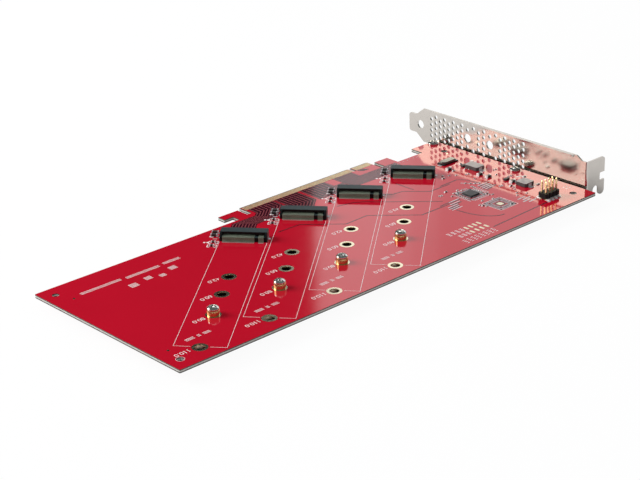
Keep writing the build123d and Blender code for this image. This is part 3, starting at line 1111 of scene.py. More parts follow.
@dataclass
class SocketContacts:
    """The spring contacts of one module socket, its tails and fixing tabs, and the lands under them.

    Paths run inward and up from the socket's datum.
    """

    line: ModuleLine
    number: int
    pitch: float = 0.5
    blade_width: float = 0.3
    tail_width: float = 0.26
    thickness: float = 0.1
    lift: float = 0.01
    jaw_front: float = 3.6
    back: float = 3.2
    floor: float = 2.2
    roof: float = 3.1
    half_width: float = 11.0
    tab_width: float = 1.7
    tab_shift: float = 0.6
    land_height: float = 0.02
    land_width: float = 0.3
    back_land: Point = (0.75, 1.5)
    front_land: Point = (-0.75, 1.3)
    blades: tuple[Point, ...] = ((-9.55, 4.95), (7.2, 9.2))
    tails: tuple[Point, ...] = ((-9.25, 9.25),)

    def _offsets(self, spans: tuple[Point, ...]) -> Array:
        """The places across the socket of the contacts in these spans, one pitch apart."""
        ends = [(low, high + self.pitch / 2) for low, high in spans]
        return spots([(x, 0.0) for low, past in ends for x in np.arange(low, past, self.pitch)])

    def _strip(self, path: list[Point], offsets: Array, width: float) -> Surface:
        """A bent strip at each offset.

        Args:
            path: the strip's places inward and up.
            offsets: where its copies stand.
            width: its width across the socket.

        Returns:
            The strips.
        """
        strip = swept(path, width, self.thickness)
        x, y, z = strip.points.T
        return Surface(np.stack([-y, x, z], -1), strip.faces).repeated(offsets)

    def _contacts(self, offsets: Array) -> list[Surface]:
        """The lower contacts with their front tails, and the upper ones.

        Args:
            offsets: their places across the socket.

        Returns:
            The two rows.
        """
        front, floor, roof, rest = -self.jaw_front, self.floor, self.roof, self.thickness / 2 + self.lift
        lower = [
            (front - 0.85, rest), (front - 0.3, rest), (front - 0.09, 0.35), (front - 0.07, floor - 0.15),
            (front + 0.12, floor + 0.1), (front + 1.6, floor + 0.16), (front + 2.7, floor + 0.42),
            (front + 3.4, floor + 0.34), (front + 3.9, floor + 0.1),
        ]
        upper = [(-1.55, roof - 0.08), (-1.0, roof - 0.2), (-0.3, roof - 0.3), (0.3, roof - 0.08)]
        return [self._strip(path, offsets, self.blade_width) for path in (lower, upper)]

    def _tails(self, offsets: Array) -> Surface:
        """The tails that come down behind the socket.

        Args:
            offsets: their places across the socket.

        Returns:
            The row.
        """
        back, rest = self.back, self.thickness / 2 + self.lift
        path = [
            (back - 0.3, 0.9), (back + 0.06, 0.8), (back + 0.14, 0.25),
            (back + 0.4, rest), (back + 1.0, rest),
        ]
        return self._strip(path, offsets, self.tail_width)

    def _lands(self, offsets: Array, edge: float, land: Point) -> Surface:
        """The solder under a row of tails.

        Args:
            offsets: the tails' places across the socket.
            edge: the edge of the housing that they leave.
            land: how far inward of that edge the middle of a land lies, and its length.

        Returns:
            The row.
        """
        shift, length = land
        centres = offsets + np.array([0, edge + shift, 0.0])
        return blocks(centres, (self.land_width, length, self.land_height))

    def _tab(self, side: int) -> Surface:
        """A fixing tab beside one end of the socket: a bent strip up the cheek and out on the board.

        Args:
            side: minus one or one, the end that it stands at.

        Returns:
            The tab.
        """
        steps = [(0.06, 1.1), (0.07, 0.16), (0.22, 0.06), (1.0, 0.06)]
        path = [(side * (self.half_width + out), up) for out, up in steps]
        return swept(path, self.tab_width, self.thickness).moved(0, self.tab_shift)

    def build(self, dressing: Dressing) -> None:
        """Makes the contacts as one piece, and the tails, lands and tabs as another.

        Args:
            dressing: the card's materials.
        """
        blades, tails = self._offsets(self.blades), self._offsets(self.tails)
        contacts = self.line.placed(Surface.joined(self._contacts(blades)))
        add_piece(f"socket_{self.number}_contacts", contacts, dressing.contact)
        tin = [
            self._tails(tails),
            self._lands(tails, self.back, self.back_land),
            self._lands(blades, -self.jaw_front, self.front_land),
            self._tab(-1),
            self._tab(1),
        ]
        placed = self.line.placed(Surface.joined(tin))
        add_piece(f"socket_{self.number}_tails", placed, dressing.land)


class Route(Enum):
    """How a socket's lanes reach their fingers."""

    RIGHTWARDS = "inward, then along the edge to the right, then out"
    STRAIGHT = "inward, then out"
    LEFTWARDS = "out, then along the edge to the left, then out"


@dataclass(frozen=True)
class LaneGroup:
    """Where the lanes of one socket turn and end: each pair of values is for its first and last lane."""

    route: Route
    fingers: Point
    turns: Point = (0.0, 0.0)
    leaves: Point = (0.0, 0.0)


LANE_GROUPS = (
    LaneGroup(Route.RIGHTWARDS, (-70.5, -56.0), (-14.0, -21.2), (-73.6, -67.2)),
    LaneGroup(Route.STRAIGHT, (-54.0, -40.2)),
    LaneGroup(Route.LEFTWARDS, (-37.5, -22.0), (-20.0, -13.2)),
    LaneGroup(Route.LEFTWARDS, (-15.0, -3.4), (-20.2, -12.2)),
)
CLOCK_PATHS = (
    [(-79.5, -36.3), (-66.6, -36.7), (-50.9, -52.0), (-37.0, -51.6), (-18.6, -69.9), (0.6, -70.0)],
    [(-39.0, -33.0), (-30.3, -35.2), (-25.9, -38.2), (-18.8, -45.8), (0.5, -65.3)],
    [(-12.9, -38.7), (-9.4, -41.5), (-3.6, -42.1), (5.8, -52.0), (19.7, -52.2)],
    [(1.7, -32.3), (1.8, -44.6)],
    [(-6.0, -103.6), (35.0, -102.0)],
    [(-5.0, -68.7), (3.5, -68.4)],
    [(13.9, -50.9), (26.1, -50.7), (28.9, -53.7), (30.6, -60.4), (35.6, -64.1)],
)
SHORT_PAIRS = (
    [(26.8, -64.7), (33.9, -64.7)],
    [(26.2, -67.1), (33.9, -66.2)],
    [(25.7, -68.8), (34.0, -67.8)],
    [(26.1, -70.6), (34.9, -68.8)],
    [(1.1, -69.6), (8.8, -69.1)],
    [(-0.4, -71.6), (6.6, -71.9)],
    [(-3.6, -73.8), (3.0, -73.7)],
    [(-4.1, -75.4), (1.3, -75.5)],
)


@dataclass
class Lanes:
    """Signal pairs in the gaps of the copper: from each socket to its fingers, and the clock pairs."""

    lines: list[ModuleLine]
    first_offset: float = -8.0
    last_offset: float = 2.5
    pairs: int = 8
    socket_back: float = 4.6
    finger_end: float = -5.3
    margin: float = 0.72
    gap: float = 1.02
    clock_gap: float = 0.72
    trace: float = 0.13
    clock_trace: float = 0.09
    trace_spread: float = 0.15
    gap_top: float = 0.012
    trace_top: float = 0.024
    below_shift: Point = (1.0, 0.0)
    stub_fingers: Triple = (1.8, 3.2, 4.6)
    stub_bends: Point = (-6.6, -8.4)
    stub_slant: float = 2.2
    supply_centre: Point = (9.1, -77.2)
    supply_radii: Point = (12.0, 19.9)
    supply_steps: int = 10

    def _route(self, line: ModuleLine, group: LaneGroup, share: float) -> list[Point]:
        """The points of one lane.

        Args:
            line: the module's place.
            group: where its lanes turn and end.
            share: how far across the group the lane lies, from nought for the first to one for the last.

        Returns:
            The points from the socket to the finger.
        """
        finger, turn, leave = (
            low + share * (high - low) for low, high in (group.fingers, group.turns, group.leaves)
        )
        offset = self.first_offset + share * (self.last_offset - self.first_offset)
        start = line.point(-self.socket_back, offset)
        slope = line.inward[1] / line.inward[0]
        if group.route is Route.RIGHTWARDS:
            first = start + line.inward * ((turn - start[1]) / line.inward[1])
            points = [start, first, (leave, turn), (finger, turn + (finger - leave) * slope)]
        elif group.route is Route.STRAIGHT:
            points = [start, start + line.inward * ((finger - start[0]) / line.inward[0])]
        else:
            stub = start + line.inward
            points = [start, stub, (stub[0], turn), (finger, turn)]
        return [tuple(map(float, point)) for point in (*points, (finger, self.finger_end))]

    def _field(self, lanes: list[list[Point]], low: float, high: float) -> Surface:
        """The bare laminate that one socket's lanes lie in, from beside its first lane to beside its last."""
        left, right = shifted(lanes[0], self.margin), shifted(lanes[-1], -self.margin)
        return plate_between(left, right, low, high)

    def _supply(self) -> list[Point]:
        """The wide curve round the empty chip place: a quarter of an ellipse.

        Returns:
            Its points.
        """
        turn = np.linspace(np.pi, np.pi * 1.5, self.supply_steps)
        (x, y), (along, across) = self.supply_centre, self.supply_radii
        return [(x + along * float(np.cos(t)), y + across * float(np.sin(t))) for t in turn]

    def _stubs(self) -> list[list[Point]]:
        """Short runs from the fingers on the bracket's side of the key notch."""
        (bend, end), slant = self.stub_bends, self.stub_slant
        return [[(x, self.finger_end), (x, bend), (x + slant, end)] for x in self.stub_fingers]

    def _traces(self, paths: list[list[Point]], low: float, high: float) -> list[Surface]:
        """The two traces of each pair.

        Args:
            paths: the middle lines of the pairs.
            low: height of the underside.
            high: height of the top.

        Returns:
            The traces.
        """
        sides = (-self.trace_spread, self.trace_spread)
        return [ribbon(shifted(path, side), self.trace, low, high) for path in paths for side in sides]

    def build(self, dressing: Dressing) -> None:
        """Lays the gaps, and the traces that lie in them, on the component side; the lanes also underneath.

        Args:
            dressing: the card's materials.
        """
        groups = [
            [self._route(line, group, float(share)) for share in np.linspace(0, 1, self.pairs)]
            for line, group in zip(self.lines, LANE_GROUPS)
        ]
        clocks = [*CLOCK_PATHS, self._supply()]
        gaps = [self._field(lanes, 0.0, self.gap_top) for lanes in groups]
        gaps += [ribbon(path, self.gap, 0.0, self.gap_top) for path in (*SHORT_PAIRS, *self._stubs())]
        gaps += [ribbon(path, self.clock_gap, 0.0, self.gap_top) for path in clocks]
        wide = [path for lanes in groups for path in lanes]
        traces = self._traces([*wide, *SHORT_PAIRS], 0.0, self.trace_top)
        traces += [ribbon(path, self.clock_trace, 0.0, self.trace_top) for path in clocks]
        add_piece("lane_gaps", Surface.joined(gaps), dressing.bare_mask)
        add_piece("lane_traces", Surface.joined(traces), dressing.copper_mask)
        under = -BOARD_THICKNESS
        below = [[np.array(path) + self.below_shift for path in lanes] for lanes in groups]
        gaps = [self._field(lanes, under - self.gap_top, under) for lanes in below]
        wide = [path for lanes in below for path in lanes]
        traces = self._traces(wide, under - self.trace_top, under)
        add_piece("lane_gaps_below", Surface.joined(gaps), dressing.bare_mask)
        add_piece("lane_traces_below", Surface.joined(traces), dressing.copper_mask)


# Strokes of the printed figures, on a grid four wide and six high
FIGURES: dict[str, list[list[Point]]] = {
    "0": [[(0, 1), (1, 0), (3, 0), (4, 1), (4, 5), (3, 6), (1, 6), (0, 5), (0, 1)]],
    "1": [[(1, 5), (2, 6), (2, 0)], [(0.8, 0), (3.2, 0)]],
    "2": [[(0, 5), (1, 6), (3, 6), (4, 5), (4, 4), (0, 0), (4, 0)]],
    "4": [[(3, 0), (3, 6), (0, 2), (4, 2)]],
    "6": [[(3.4, 6), (1.6, 6), (0, 3.6), (0, 1), (1, 0), (3, 0), (4, 1), (4, 2.4), (3, 3.4), (0, 3.4)]],
    "8": [[(1, 3.1), (0, 4), (0, 5), (1, 6), (3, 6), (4, 5), (4, 4), (3, 3.1), (1, 3.1)],
          [(1, 3.1), (0, 2.1), (0, 1), (1, 0), (3, 0), (4, 1), (4, 2.1), (3, 3.1)]],
    ".": [[(0, 0.2), (1, 0.2)]],
}
FIGURE_GRID = (4, 6)

# How far each printed length stands from the hole at that length
LABEL_SHIFTS = {42.0: (-7.3, 1.6), 60.0: (-7.2, 1.6), 80.0: (-7.8, 0.0), 110.0: (-8.2, 0.9)}


def printed(path: list[Point] | Array, width: float, closed: bool = False) -> Surface:
    """A printed line."""
    return ribbon(path, width, 0.0, PRINT_TOP, closed)


@dataclass(frozen=True)
class Bar:
    """A plain bar made of fine lines, which stands where the board has small print."""

    middle: Point
    length: float
    height: float
    lines: int = 3

    def strokes(self, ink_share: float) -> list[Surface]:
        """The bar's lines.

        Args:
            ink_share: how much of the bar's height is ink.

        Returns:
            The printed lines.
        """
        x, y = self.middle
        rows = np.linspace(-self.height / 2, self.height / 2, self.lines) + y
        ends = (x - self.length / 2, x + self.length / 2)
        width = self.height / self.lines * ink_share
        return [printed([(end, row) for end in ends], width) for row in rows]


def bar_row(
    first: float, last: float, count: int, y: float, length: float, height: float, lines: int
) -> list[Bar]:
    """Like bars at even steps along X.

    Args:
        first: the middle of the first.
        last: the middle of the last.
        count: how many there are.
        y: their place along Y.
        length: one bar's length.
        height: its height.
        lines: how many lines it has.

    Returns:
        The bars.
    """
    return [Bar((float(x), y), length, height, lines) for x in np.linspace(first, last, count)]


BARS = (
    Bar((-172.95, -25.9), 21.3, 1.5),
    Bar((-150.8, -26.6), 18.2, 1.5),
    Bar((-134.4, -26.0), 9.4, 1.5),
    Bar((-162.0, -35.0), 4.2, 3.024, 5),
    Bar((-153.0, -33.4), 3.6, 2.592, 5),
    Bar((-146.6, -35.6), 3.0, 2.16, 5),
    Bar((-138.6, -32.4), 3.8, 2.736, 5),
    *bar_row(-27.5, -18.95, 4, -95.6, 1.5, 2.5, 4),
    *bar_row(-25.0, -19.8, 3, -100.5, 1.5, 2.4, 4),
    *bar_row(-27.6, -8.6, 8, -105.1, 1.4, 1.2, 2),
    *bar_row(-27.6, -8.6, 8, -107.3, 1.4, 1.2, 2),
)


@dataclass
class BoardPrint:
    """White print: module outlines, plain lengths beside their holes, bars and brackets."""

    lines: list[ModuleLine]
    line_width: float = 0.17
    outline_half: float = 11.0
    outline_start: float = 4.4
    outline_end: float = 109.6
    ring_gap: float = 4.0
    figure_height: float = 1.9
    figure_width: float = 1.2
    figure_space: float = 0.55
    figure_stroke: float = 0.26
    dot_width: float = 0.3
    ink_share: float = 0.52
    module_bars: Point = (-173.6, -93.0)
    module_step: float = 37.2
    module_bar_height: float = 1.4
    module_bar_shifts: tuple[Point, ...] = ((4.6, 3.6), (0.4, 1.6), (-4.3, 4.4))
    bracket_inner: Point = (1.1, 1.45)
    bracket_outer: Point = (2.1, 1.2)
    bracket_stroke: float = 0.34
    socket_dashes: tuple[tuple[float, float, float, float], ...] = (
        (-18.2, -17.2, -5.5, 1.1), (-16.7, -15.9, -5.5, 1.1), (-16.6, -14.7, 1.2, 0.9),
    )
    target_centre: Point = (-191.7, -104.1)
    target_radius: float = 1.85
    target_stroke: float = 0.14
    target_steps: int = 40

    def _outline(self, line: ModuleLine) -> list[Surface]:
        """A module's outline: two long sides and the far end, which its ring pad interrupts.

        Args:
            line: the module's place.

        Returns:
            The printed lines.
        """
        end = self.outline_end
        sides = []
        for side in (-1, 1):
            across = side * self.outline_half
            path = [line.point(self.outline_start, across), line.point(end, across)]
            sides.append(printed([*path, line.point(end, side * self.ring_gap)], self.line_width))
        return sides

    def _text(self, text: str, centre: Array) -> list[Surface]:
        """Figures in a row about a centre, turned half round, as they read from the connector's side.

        Args:
            text: the figures.
            centre: the middle of the row.

        Returns:
            The strokes.
        """
        scale = np.array([self.figure_width, self.figure_height]) / FIGURE_GRID
        widths = [self.dot_width if figure == "." else self.figure_width for figure in text]
        x = -(sum(widths) + self.figure_space * (len(text) - 1)) / 2
        strokes = []
        for figure, width in zip(text, widths):
            for stroke in FIGURES[figure]:
                points = centre - (np.array(stroke, float) * scale + (x, -self.figure_height / 2))
                strokes.append(printed(points, self.figure_stroke))
            x += width + self.figure_space
        return strokes

    def _bars(self) -> list[Surface]:
        """The bars beside each module's end, and those along the far edge and beside the test pads.

        Returns:
            The printed lines.
        """
        start, y = self.module_bars
        middles = [start + self.module_step * place for place in range(len(self.lines))]
        bars = [
            Bar((middle + shift, y), length, self.module_bar_height)
            for middle in middles
            for shift, length in self.module_bar_shifts
        ]
        return [stroke for bar in (*bars, *BARS) for stroke in bar.strokes(self.ink_share)]

    def _brackets(self, line: ModuleLine) -> list[Surface]:
        """Beside a socket: brackets round two chip parts, two dots to their left and a dash behind them.

        Args:
            line: the module's place.

        Returns:
            The printed lines.
        """
        made = []
        (inner, inner_half), (outer, outer_half) = self.bracket_inner, self.bracket_outer
        for x, y in BESIDE_SOCKET_PARTS:
            for side in (-1, 1):
                path = [
                    (x + side * inner, y - inner_half), (x + side * outer, y - outer_half),
                    (x + side * outer, y + outer_half), (x + side * inner, y + inner_half),
                ]
                made.append(printed(path, self.bracket_stroke))
        for start, end, y, width in self.socket_dashes:
            made.append(printed([(start, y), (end, y)], width))
        return [line.placed(part) for part in made]

    def _target(self) -> Surface:
        """A fine circle round the tooling hole at the corner.

        Returns:
            The printed line.
        """
        turn = np.linspace(0, 2 * np.pi, self.target_steps, endpoint=False)
        circle = np.stack([np.cos(turn), np.sin(turn)], -1) * self.target_radius + self.target_centre
        return printed(circle, self.target_stroke, closed=True)

    def build(self, dressing: Dressing) -> None:
        """Prints the outlines, the lengths, and all the other marks as one piece each.

        Args:
            dressing: the card's materials.
        """
        outlines = [strip for line in self.lines for strip in self._outline(line)]
        figures = [
            stroke
            for line in self.lines
            for length, shift in LABEL_SHIFTS.items()
            for stroke in self._text(f"{length:.1f}", line.point(length) + shift)
        ]
        marks = [*self._bars(), self._target()]
        marks += [part for line in self.lines for part in self._brackets(line)]
        pieces = {"module_outlines": outlines, "module_lengths": figures, "printed_marks": marks}
        for name, parts in pieces.items():
            add_piece(name, Surface.joined(parts), dressing.ink)


@dataclass(frozen=True)
class ChipSize:
    """Size of a chip part: its length over the ends, width, height and how long each end is."""

    length: float
    width: float
    height: float
    end: float

    @property
    def end_middle(self) -> float:
        """How far the middle of an end lies from the middle of the part."""
        return (self.length - self.end) / 2


TINY = ChipSize(1.0, 0.5, 0.38, 0.24)
SMALL = ChipSize(1.6, 0.8, 0.5, 0.3)
MIDDLE = ChipSize(2.0, 1.25, 0.8, 0.45)
LARGE = ChipSize(3.2, 1.6, 1.2, 0.5)


@dataclass(frozen=True)
class LandGroup:
    """Lands of one size: their middles, length, width and turn in degrees."""

    places: tuple[Point, ...]
    length: float
    width: float
    degrees: float = 0.0


@dataclass(frozen=True)
class LandSquare:
    """Lands along a square's sides: its middle and half its side, their count to a side, pitch and size."""

    centre: Point
    half: float
    count: int
    pitch: float
    size: Point


CLOCK_CHIP = (16.5, -68.9)
EMPTY_PLACE = (17.3, -87.1)
HEADER_FIRST = 35.94
HEADER_PITCH = 2.54
HEADER_COLUMNS = 4
BYPASS_PARTS = ((-14.6, 2.2), (-14.6, 5.6))


def header_places(*rows: float) -> tuple[Point, ...]:
    """The places of the header's columns, in each of these rows along Y."""
    return tuple((HEADER_FIRST + HEADER_PITCH * n, y) for y in rows for n in range(HEADER_COLUMNS))


LAND_SQUARES = (
    LandSquare(CLOCK_CHIP, 3.25, 11, 0.5, (0.3, 0.8)),
    LandSquare(CLOCK_CHIP, 4.9, 13, 0.66, (0.3, 1.3)),
    LandSquare(CLOCK_CHIP, 6.7, 9, 1.05, (0.5, 1.1)),
    LandSquare(EMPTY_PLACE, 3.4, 10, 0.6, (0.32, 1.0)),
    LandSquare(EMPTY_PLACE, 5.0, 12, 0.8, (0.42, 1.2)),
)
LAND_GROUPS = (
    LandGroup(tuple((24.6, y) for y in np.linspace(-72.4, -61.8, 9)), 1.5, 0.55),
    LandGroup(tuple((x, -74.2) for x in np.linspace(9.8, 21.6, 7)), 0.7, 1.6),
    LandGroup(tuple((24.4 + 0.95 * n, -55.6 - 1.12 * n) for n in range(7)), 1.2, 0.6, -50.0),
    LandGroup(header_places(-101.9, -94.7), 1.0, 1.7),
    LandGroup(((29.8, -89.6), (31.2, -91.6), (29.4, -93.4), (31.4, -95.3)), 5.6, 0.85, 3.0),
    LandGroup(((54.1, -95.6), (56.4, -95.6), (54.1, -97.6), (56.4, -97.6)), 0.9, 0.8),
    LandGroup(((51.0, -38.1), (50.7, -40.4), (52.4, -71.4), (50.4, -69.8)), 2.4, 1.3, -20.0),
    LandGroup(((44.0, -41.0), (44.0, -51.6), (44.3, -75.0), (44.3, -83.6)), 3.2, 2.2),
    LandGroup(((35.0, -30.85), (46.7, -30.85)), 1.8, 2.6),
)
PALE_BARS = LandGroup(
    ((30.4, -63.8), (30.2, -65.8), (29.8, -67.4), (30.4, -69.0), (4.9, -68.5), (3.1, -70.8), (-0.3, -72.8),
     (-1.4, -74.6), (-1.0, -76.3)),
    7.2, 0.42, 2.0,
)
GOLD_GROUPS = (
    LandGroup((EMPTY_PLACE,), 3.0, 3.0),
    LandGroup(tuple((x, -95.7) for x in np.arange(-16.1, -7.4, 2.85)), 1.25, 3.1),
    LandGroup(tuple((x, -100.5) for x in np.arange(-17.2, -7.0, 3.2)), 1.25, 3.1),
)
EDGE_VIAS = tuple((17.0 + 2.4 * n, -13.2 - 0.4 * (n % 3)) for n in range(10))
BRACKET_VIAS = tuple((56.4, y) for y in np.arange(-56.0, -12.0, 3.3))
SOCKET_VIAS = tuple((-6.6 - 1.4 * (n % 2), -9.0 + 2.6 * n) for n in range(8))
FIDUCIALS = ((-188.2, -27.5), (-190.4, -94.7), (50.2, -22.0))
LARGE_PARTS = ((33.4, -38.6), (38.8, -54.6), (39.4, -59.8), (42.6, -72.9))
SMALL_PARTS = (
    (22.5, -45.0), (13.5, -62.9), (22.3, -74.0), (10.2, -58.2), (38.2, -75.6), (43.3, -37.6), (33.9, -41.4),
    (52.3, -72.2), (49.0, -83.9), (9.7, -82.9), (20.9, -91.1),
)
TINY_ALONG_X = (
    (11.5, -62.3), (12.9, -63.9), (8.3, -64.3), (15.9, -60.6), (17.6, -62.2), (22.2, -75.8), (23.6, -76.6),
    (9.2, -81.4), (10.4, -84.6), (19.6, -80.4), (14.0, -78.6), (27.0, -59.0), (28.6, -60.6), (30.0, -62.1),
    (25.4, -57.2), (40.3, -43.5), (41.4, -45.2), (38.0, -77.6), (36.2, -79.8), (33.4, -83.6), (31.0, -86.0),
    (36.4, -87.4), (46.9, -90.2), (50.4, -88.4), (30.4, -46.4), (27.6, -44.2), (24.8, -42.4), (44.6, -60.4),
)
TINY_ALONG_Y = (
    (24.2, -62.9), (24.2, -64.2), (22.1, -66.9), (22.1, -68.2), (22.1, -69.5), (22.1, -70.8), (11.0, -67.2),
    (11.0, -68.6), (11.0, -70.0), (11.0, -71.4), (34.6, -49.4), (36.2, -49.6), (33.0, -56.4), (48.8, -55.2),
    (50.4, -55.2), (47.0, -66.4), (48.6, -66.6), (35.6, -72.2), (34.0, -72.2), (5.4, -60.0), (4.0, -60.0),
)


@dataclass
class ChipRegion:
    """What lies between the sockets and the bracket: lands, solder, empty places and the smallest parts."""

    lines: list[ModuleLine]
    land_round: float = 0.22
    land_reach: float = 0.12
    land_margins: Point = (0.5, 0.25)
    land_corner: float = 0.1
    body_share: float = 0.94
    surround_top: float = 0.01
    surround_corner: float = 0.2
    chip_surrounds: tuple[Point, ...] = ((3.25, 1.1), (4.95, 1.5))
    empty_surrounds: tuple[Point, ...] = ((3.4, 1.3), (5.0, 1.5))
    empty_middle: float = 4.4
    empty_frame: float = 12.2
    frame_corner: float = 0.3
    frame_stroke: float = 0.2
    feet_rows: Point = (-101.2, -95.4)
    foot_solder: tuple[Triple, ...] = ((0.86, 2.0, 0.74), (1.5, 2.6, 0.2))
    dot: float = 1.2
    dot_corner: float = 0.599
    via_radii: Point = (0.18, 0.36)
    via_edge: float = 0.02
    via_sides: int = 12

    def _plates(self, group: LandGroup) -> Surface:
        """Flat plated lands with round corners.

        Args:
            group: their places and size.

        Returns:
            The lands.
        """
        radius = min(group.length, group.width) * self.land_round
        outline = rounded_outline(group.length, group.width, radius, steps=3)
        return thickened(outline, 0.0, PLATING).turned(group.degrees).repeated(spots(group.places))

    def _square_lands(self, square: LandSquare) -> Surface:
        """Four rows of lands round a square chip place.

        Args:
            square: where they lie.

        Returns:
            The lands.
        """
        x, y = square.centre
        width, length = square.size
        along = (np.arange(square.count) - (square.count - 1) / 2) * square.pitch
        rows = []
        for half in (-square.half, square.half):
            rows.append(self._plates(LandGroup(tuple((x + a, y + half) for a in along), width, length)))
            rows.append(self._plates(LandGroup(tuple((x + half, y + a) for a in along), length, width)))
        return Surface.joined(rows)

    def _land_pairs(self, places: tuple[Point, ...], size: ChipSize, degrees: float = 0.0) -> Surface:
        """The two lands of each chip part, which reach a little past its ends.

        Args:
            places: where the parts stand.
            size: their size.
            degrees: their turn.

        Returns:
            The lands.
        """
        outline = rounded_outline(
            size.end + self.land_margins[0], size.width + self.land_margins[1], self.land_corner, steps=3
        )
        reach = size.end_middle + self.land_reach
        pair = thickened(outline, 0.0, PLATING).repeated(spots([(-reach, 0.0), (reach, 0.0)]))
        return pair.turned(degrees).repeated(spots(places))

    def _chips(
        self, places: tuple[Point, ...], size: ChipSize, degrees: float = 0.0
    ) -> tuple[Surface, Surface]:
        """Chip parts made of blocks, whose ends stand a little proud of the body.

        Args:
            places: where the parts stand.
            size: their size.
            degrees: their turn.

        Returns:
            The bodies, and the ends.
        """
        middle = (size.length - 2 * size.end, size.width * self.body_share, size.height * self.body_share)
        body = blocks(spots([(0.0, 0.0)]), middle)
        end_places = spots([(-size.end_middle, 0.0), (size.end_middle, 0.0)])
        ends = blocks(end_places, (size.end, size.width, size.height))
        where = spots(places)
        return body.turned(degrees).repeated(where), ends.turned(degrees).repeated(where)

    def _lands(self) -> Surface:
        """Tin lands: round the clock chip, in rows, at the empty places and under the chip parts.

        Returns:
            The lands.
        """
        rows = [self._square_lands(square) for square in LAND_SQUARES]
        rows += [self._plates(group) for group in LAND_GROUPS]
        rows += [self._land_pairs(LARGE_PARTS, LARGE), self._land_pairs(SMALL_PARTS, SMALL)]
        rows += [self._land_pairs(TINY_ALONG_X, TINY), self._land_pairs(TINY_ALONG_Y, TINY, 90.0)]
        beside = [
            self._land_pairs(BYPASS_PARTS, LARGE),
            self._land_pairs(BESIDE_SOCKET_PARTS, MIDDLE),
            self._plates(LandGroup(((BESIDE_SOCKET, -1.1),), 2.2, 0.8)),
        ]
        rows += [line.placed(part) for line in self.lines for part in beside]
        return Surface.joined(rows)

    def _surrounds(self) -> Surface:
        """Bare mask round the dense lands: rings round the chip and the empty place, and a patch in it.

        Returns:
            The mask.
        """
        rings = [(CLOCK_CHIP, *ring) for ring in self.chip_surrounds]
        rings += [(EMPTY_PLACE, *ring) for ring in self.empty_surrounds]
        corner, top = self.surround_corner, self.surround_top
        made = [
            ribbon(square_outline(centre, 2 * half, corner), width, 0.0, top, closed=True)
            for centre, half, width in rings
        ]
        middle = square_outline(EMPTY_PLACE, self.empty_middle, corner)
        return Surface.joined([*made, thickened(middle, 0.0, top)])

    def _header_feet(self) -> Surface:
        """Solder over the header's feet: a block over each, and a lower, wider one round it."""
        places = spots(header_places(*self.feet_rows))
        return Surface.joined([blocks(places, size) for size in self.foot_solder])

    def _gold(self) -> Surface:
        """Gold: the middle of the empty chip place, the test pads and the round fiducials.

        Returns:
            The lands.
        """
        dot = thickened(rounded_outline(self.dot, self.dot, self.dot_corner, steps=7), 0.0, PLATING)
        plates = [self._plates(group) for group in GOLD_GROUPS]
        return Surface.joined([*plates, dot.repeated(spots(FIDUCIALS))])

    def _vias(self) -> Surface:
        """Small plated through holes: low rings in rows along the copper's edges and beside each socket.

        Returns:
            The rings.
        """
        inner, outer = self.via_radii
        ring = turned_profile(
            [(inner, 0.0), (inner, PLATING), (outer - self.via_edge, PLATING), (outer, 0.0)],
            self.via_sides,
            closed=True,
        )
        places = [
            *EDGE_VIAS, *BRACKET_VIAS, *(line.point(*via) for line in self.lines for via in SOCKET_VIAS),
        ]
        return ring.repeated(spots(places))

    def build(self, dressing: Dressing) -> None:
        """Makes the lands, the gold, the vias, the smallest parts and the print of the empty place.

        Args:
            dressing: the card's materials.
        """
        tin, body = Slot.TIN, dressing.dark_body
        add_piece("solder_lands", self._lands(), dressing.land)
        add_piece("pale_bars", self._plates(PALE_BARS), dressing.pale_land)
        add_piece("land_surrounds", self._surrounds(), dressing.bare_mask)
        add_piece("header_feet", self._header_feet(), dressing.solder)
        add_piece("gold_lands", self._gold(), dressing.ring_gold)
        add_piece("plated_vias", self._vias(), dressing.land)
        smallest = [self._chips(TINY_ALONG_X, TINY), self._chips(TINY_ALONG_Y, TINY, 90.0)]
        bodies, ends = (Surface.joined(list(parts)) for parts in zip(*smallest))
        add_piece("smallest_bodies", bodies, body)
        add_piece("smallest_ends", ends, dressing.solder)
        bodies, ends = (
            Surface.joined([line.placed(part) for line in self.lines])
            for part in self._chips(BESIDE_SOCKET_PARTS, MIDDLE)
        )
        add_piece("socket_side_bodies", bodies, body)
        add_piece("socket_side_ends", ends, dressing.solder)
        frame = square_outline(EMPTY_PLACE, self.empty_frame, self.frame_corner)
        outline = printed(frame, self.frame_stroke, closed=True)
        add_piece("empty_place_outline", outline, dressing.ink)


# Studio


def aimed(place: Triple, aim: Triple) -> Matrix:
    """Stands something at a place and turns its front to an aim.

    Args:
        place: where it stands.
        aim: what it looks at.

    Returns:
        Its matrix, in metres.
    """
    here = Vector(place) * MM
    turn = (Vector(aim) * MM - here).to_track_quat("-Z", "Y").to_matrix().to_4x4()
    return Matrix.Translation(here) @ turn


@dataclass
class Camera:
    """The photograph's viewpoint, solved from the card's own sizes."""

    eye: Triple = (-549.4, -578.6, 303.3)
    aim: Triple = (-72.4, -57.0, 0.0)
    roll: float = -1.5
    focal_pixels: float = 1684.0
    image_width: int = 640
    sensor: float = 36.0
    nearest: float = 10.0
    furthest: float = 20000.0

    def build(self) -> None:
        """Stands the camera at the eye, turned to the aim, then rolled about its own axis."""
        data = bpy.data.cameras.new("camera")
        data.sensor_width = self.sensor
        data.lens = self.sensor * self.focal_pixels / self.image_width
        data.clip_start, data.clip_end = self.nearest * MM, self.furthest * MM
        camera = in_scene("camera", data)
        roll = Matrix.Rotation(math.radians(self.roll), 4, "Z")
        camera.matrix_world = aimed(self.eye, self.aim) @ roll
        bpy.context.scene.camera = camera


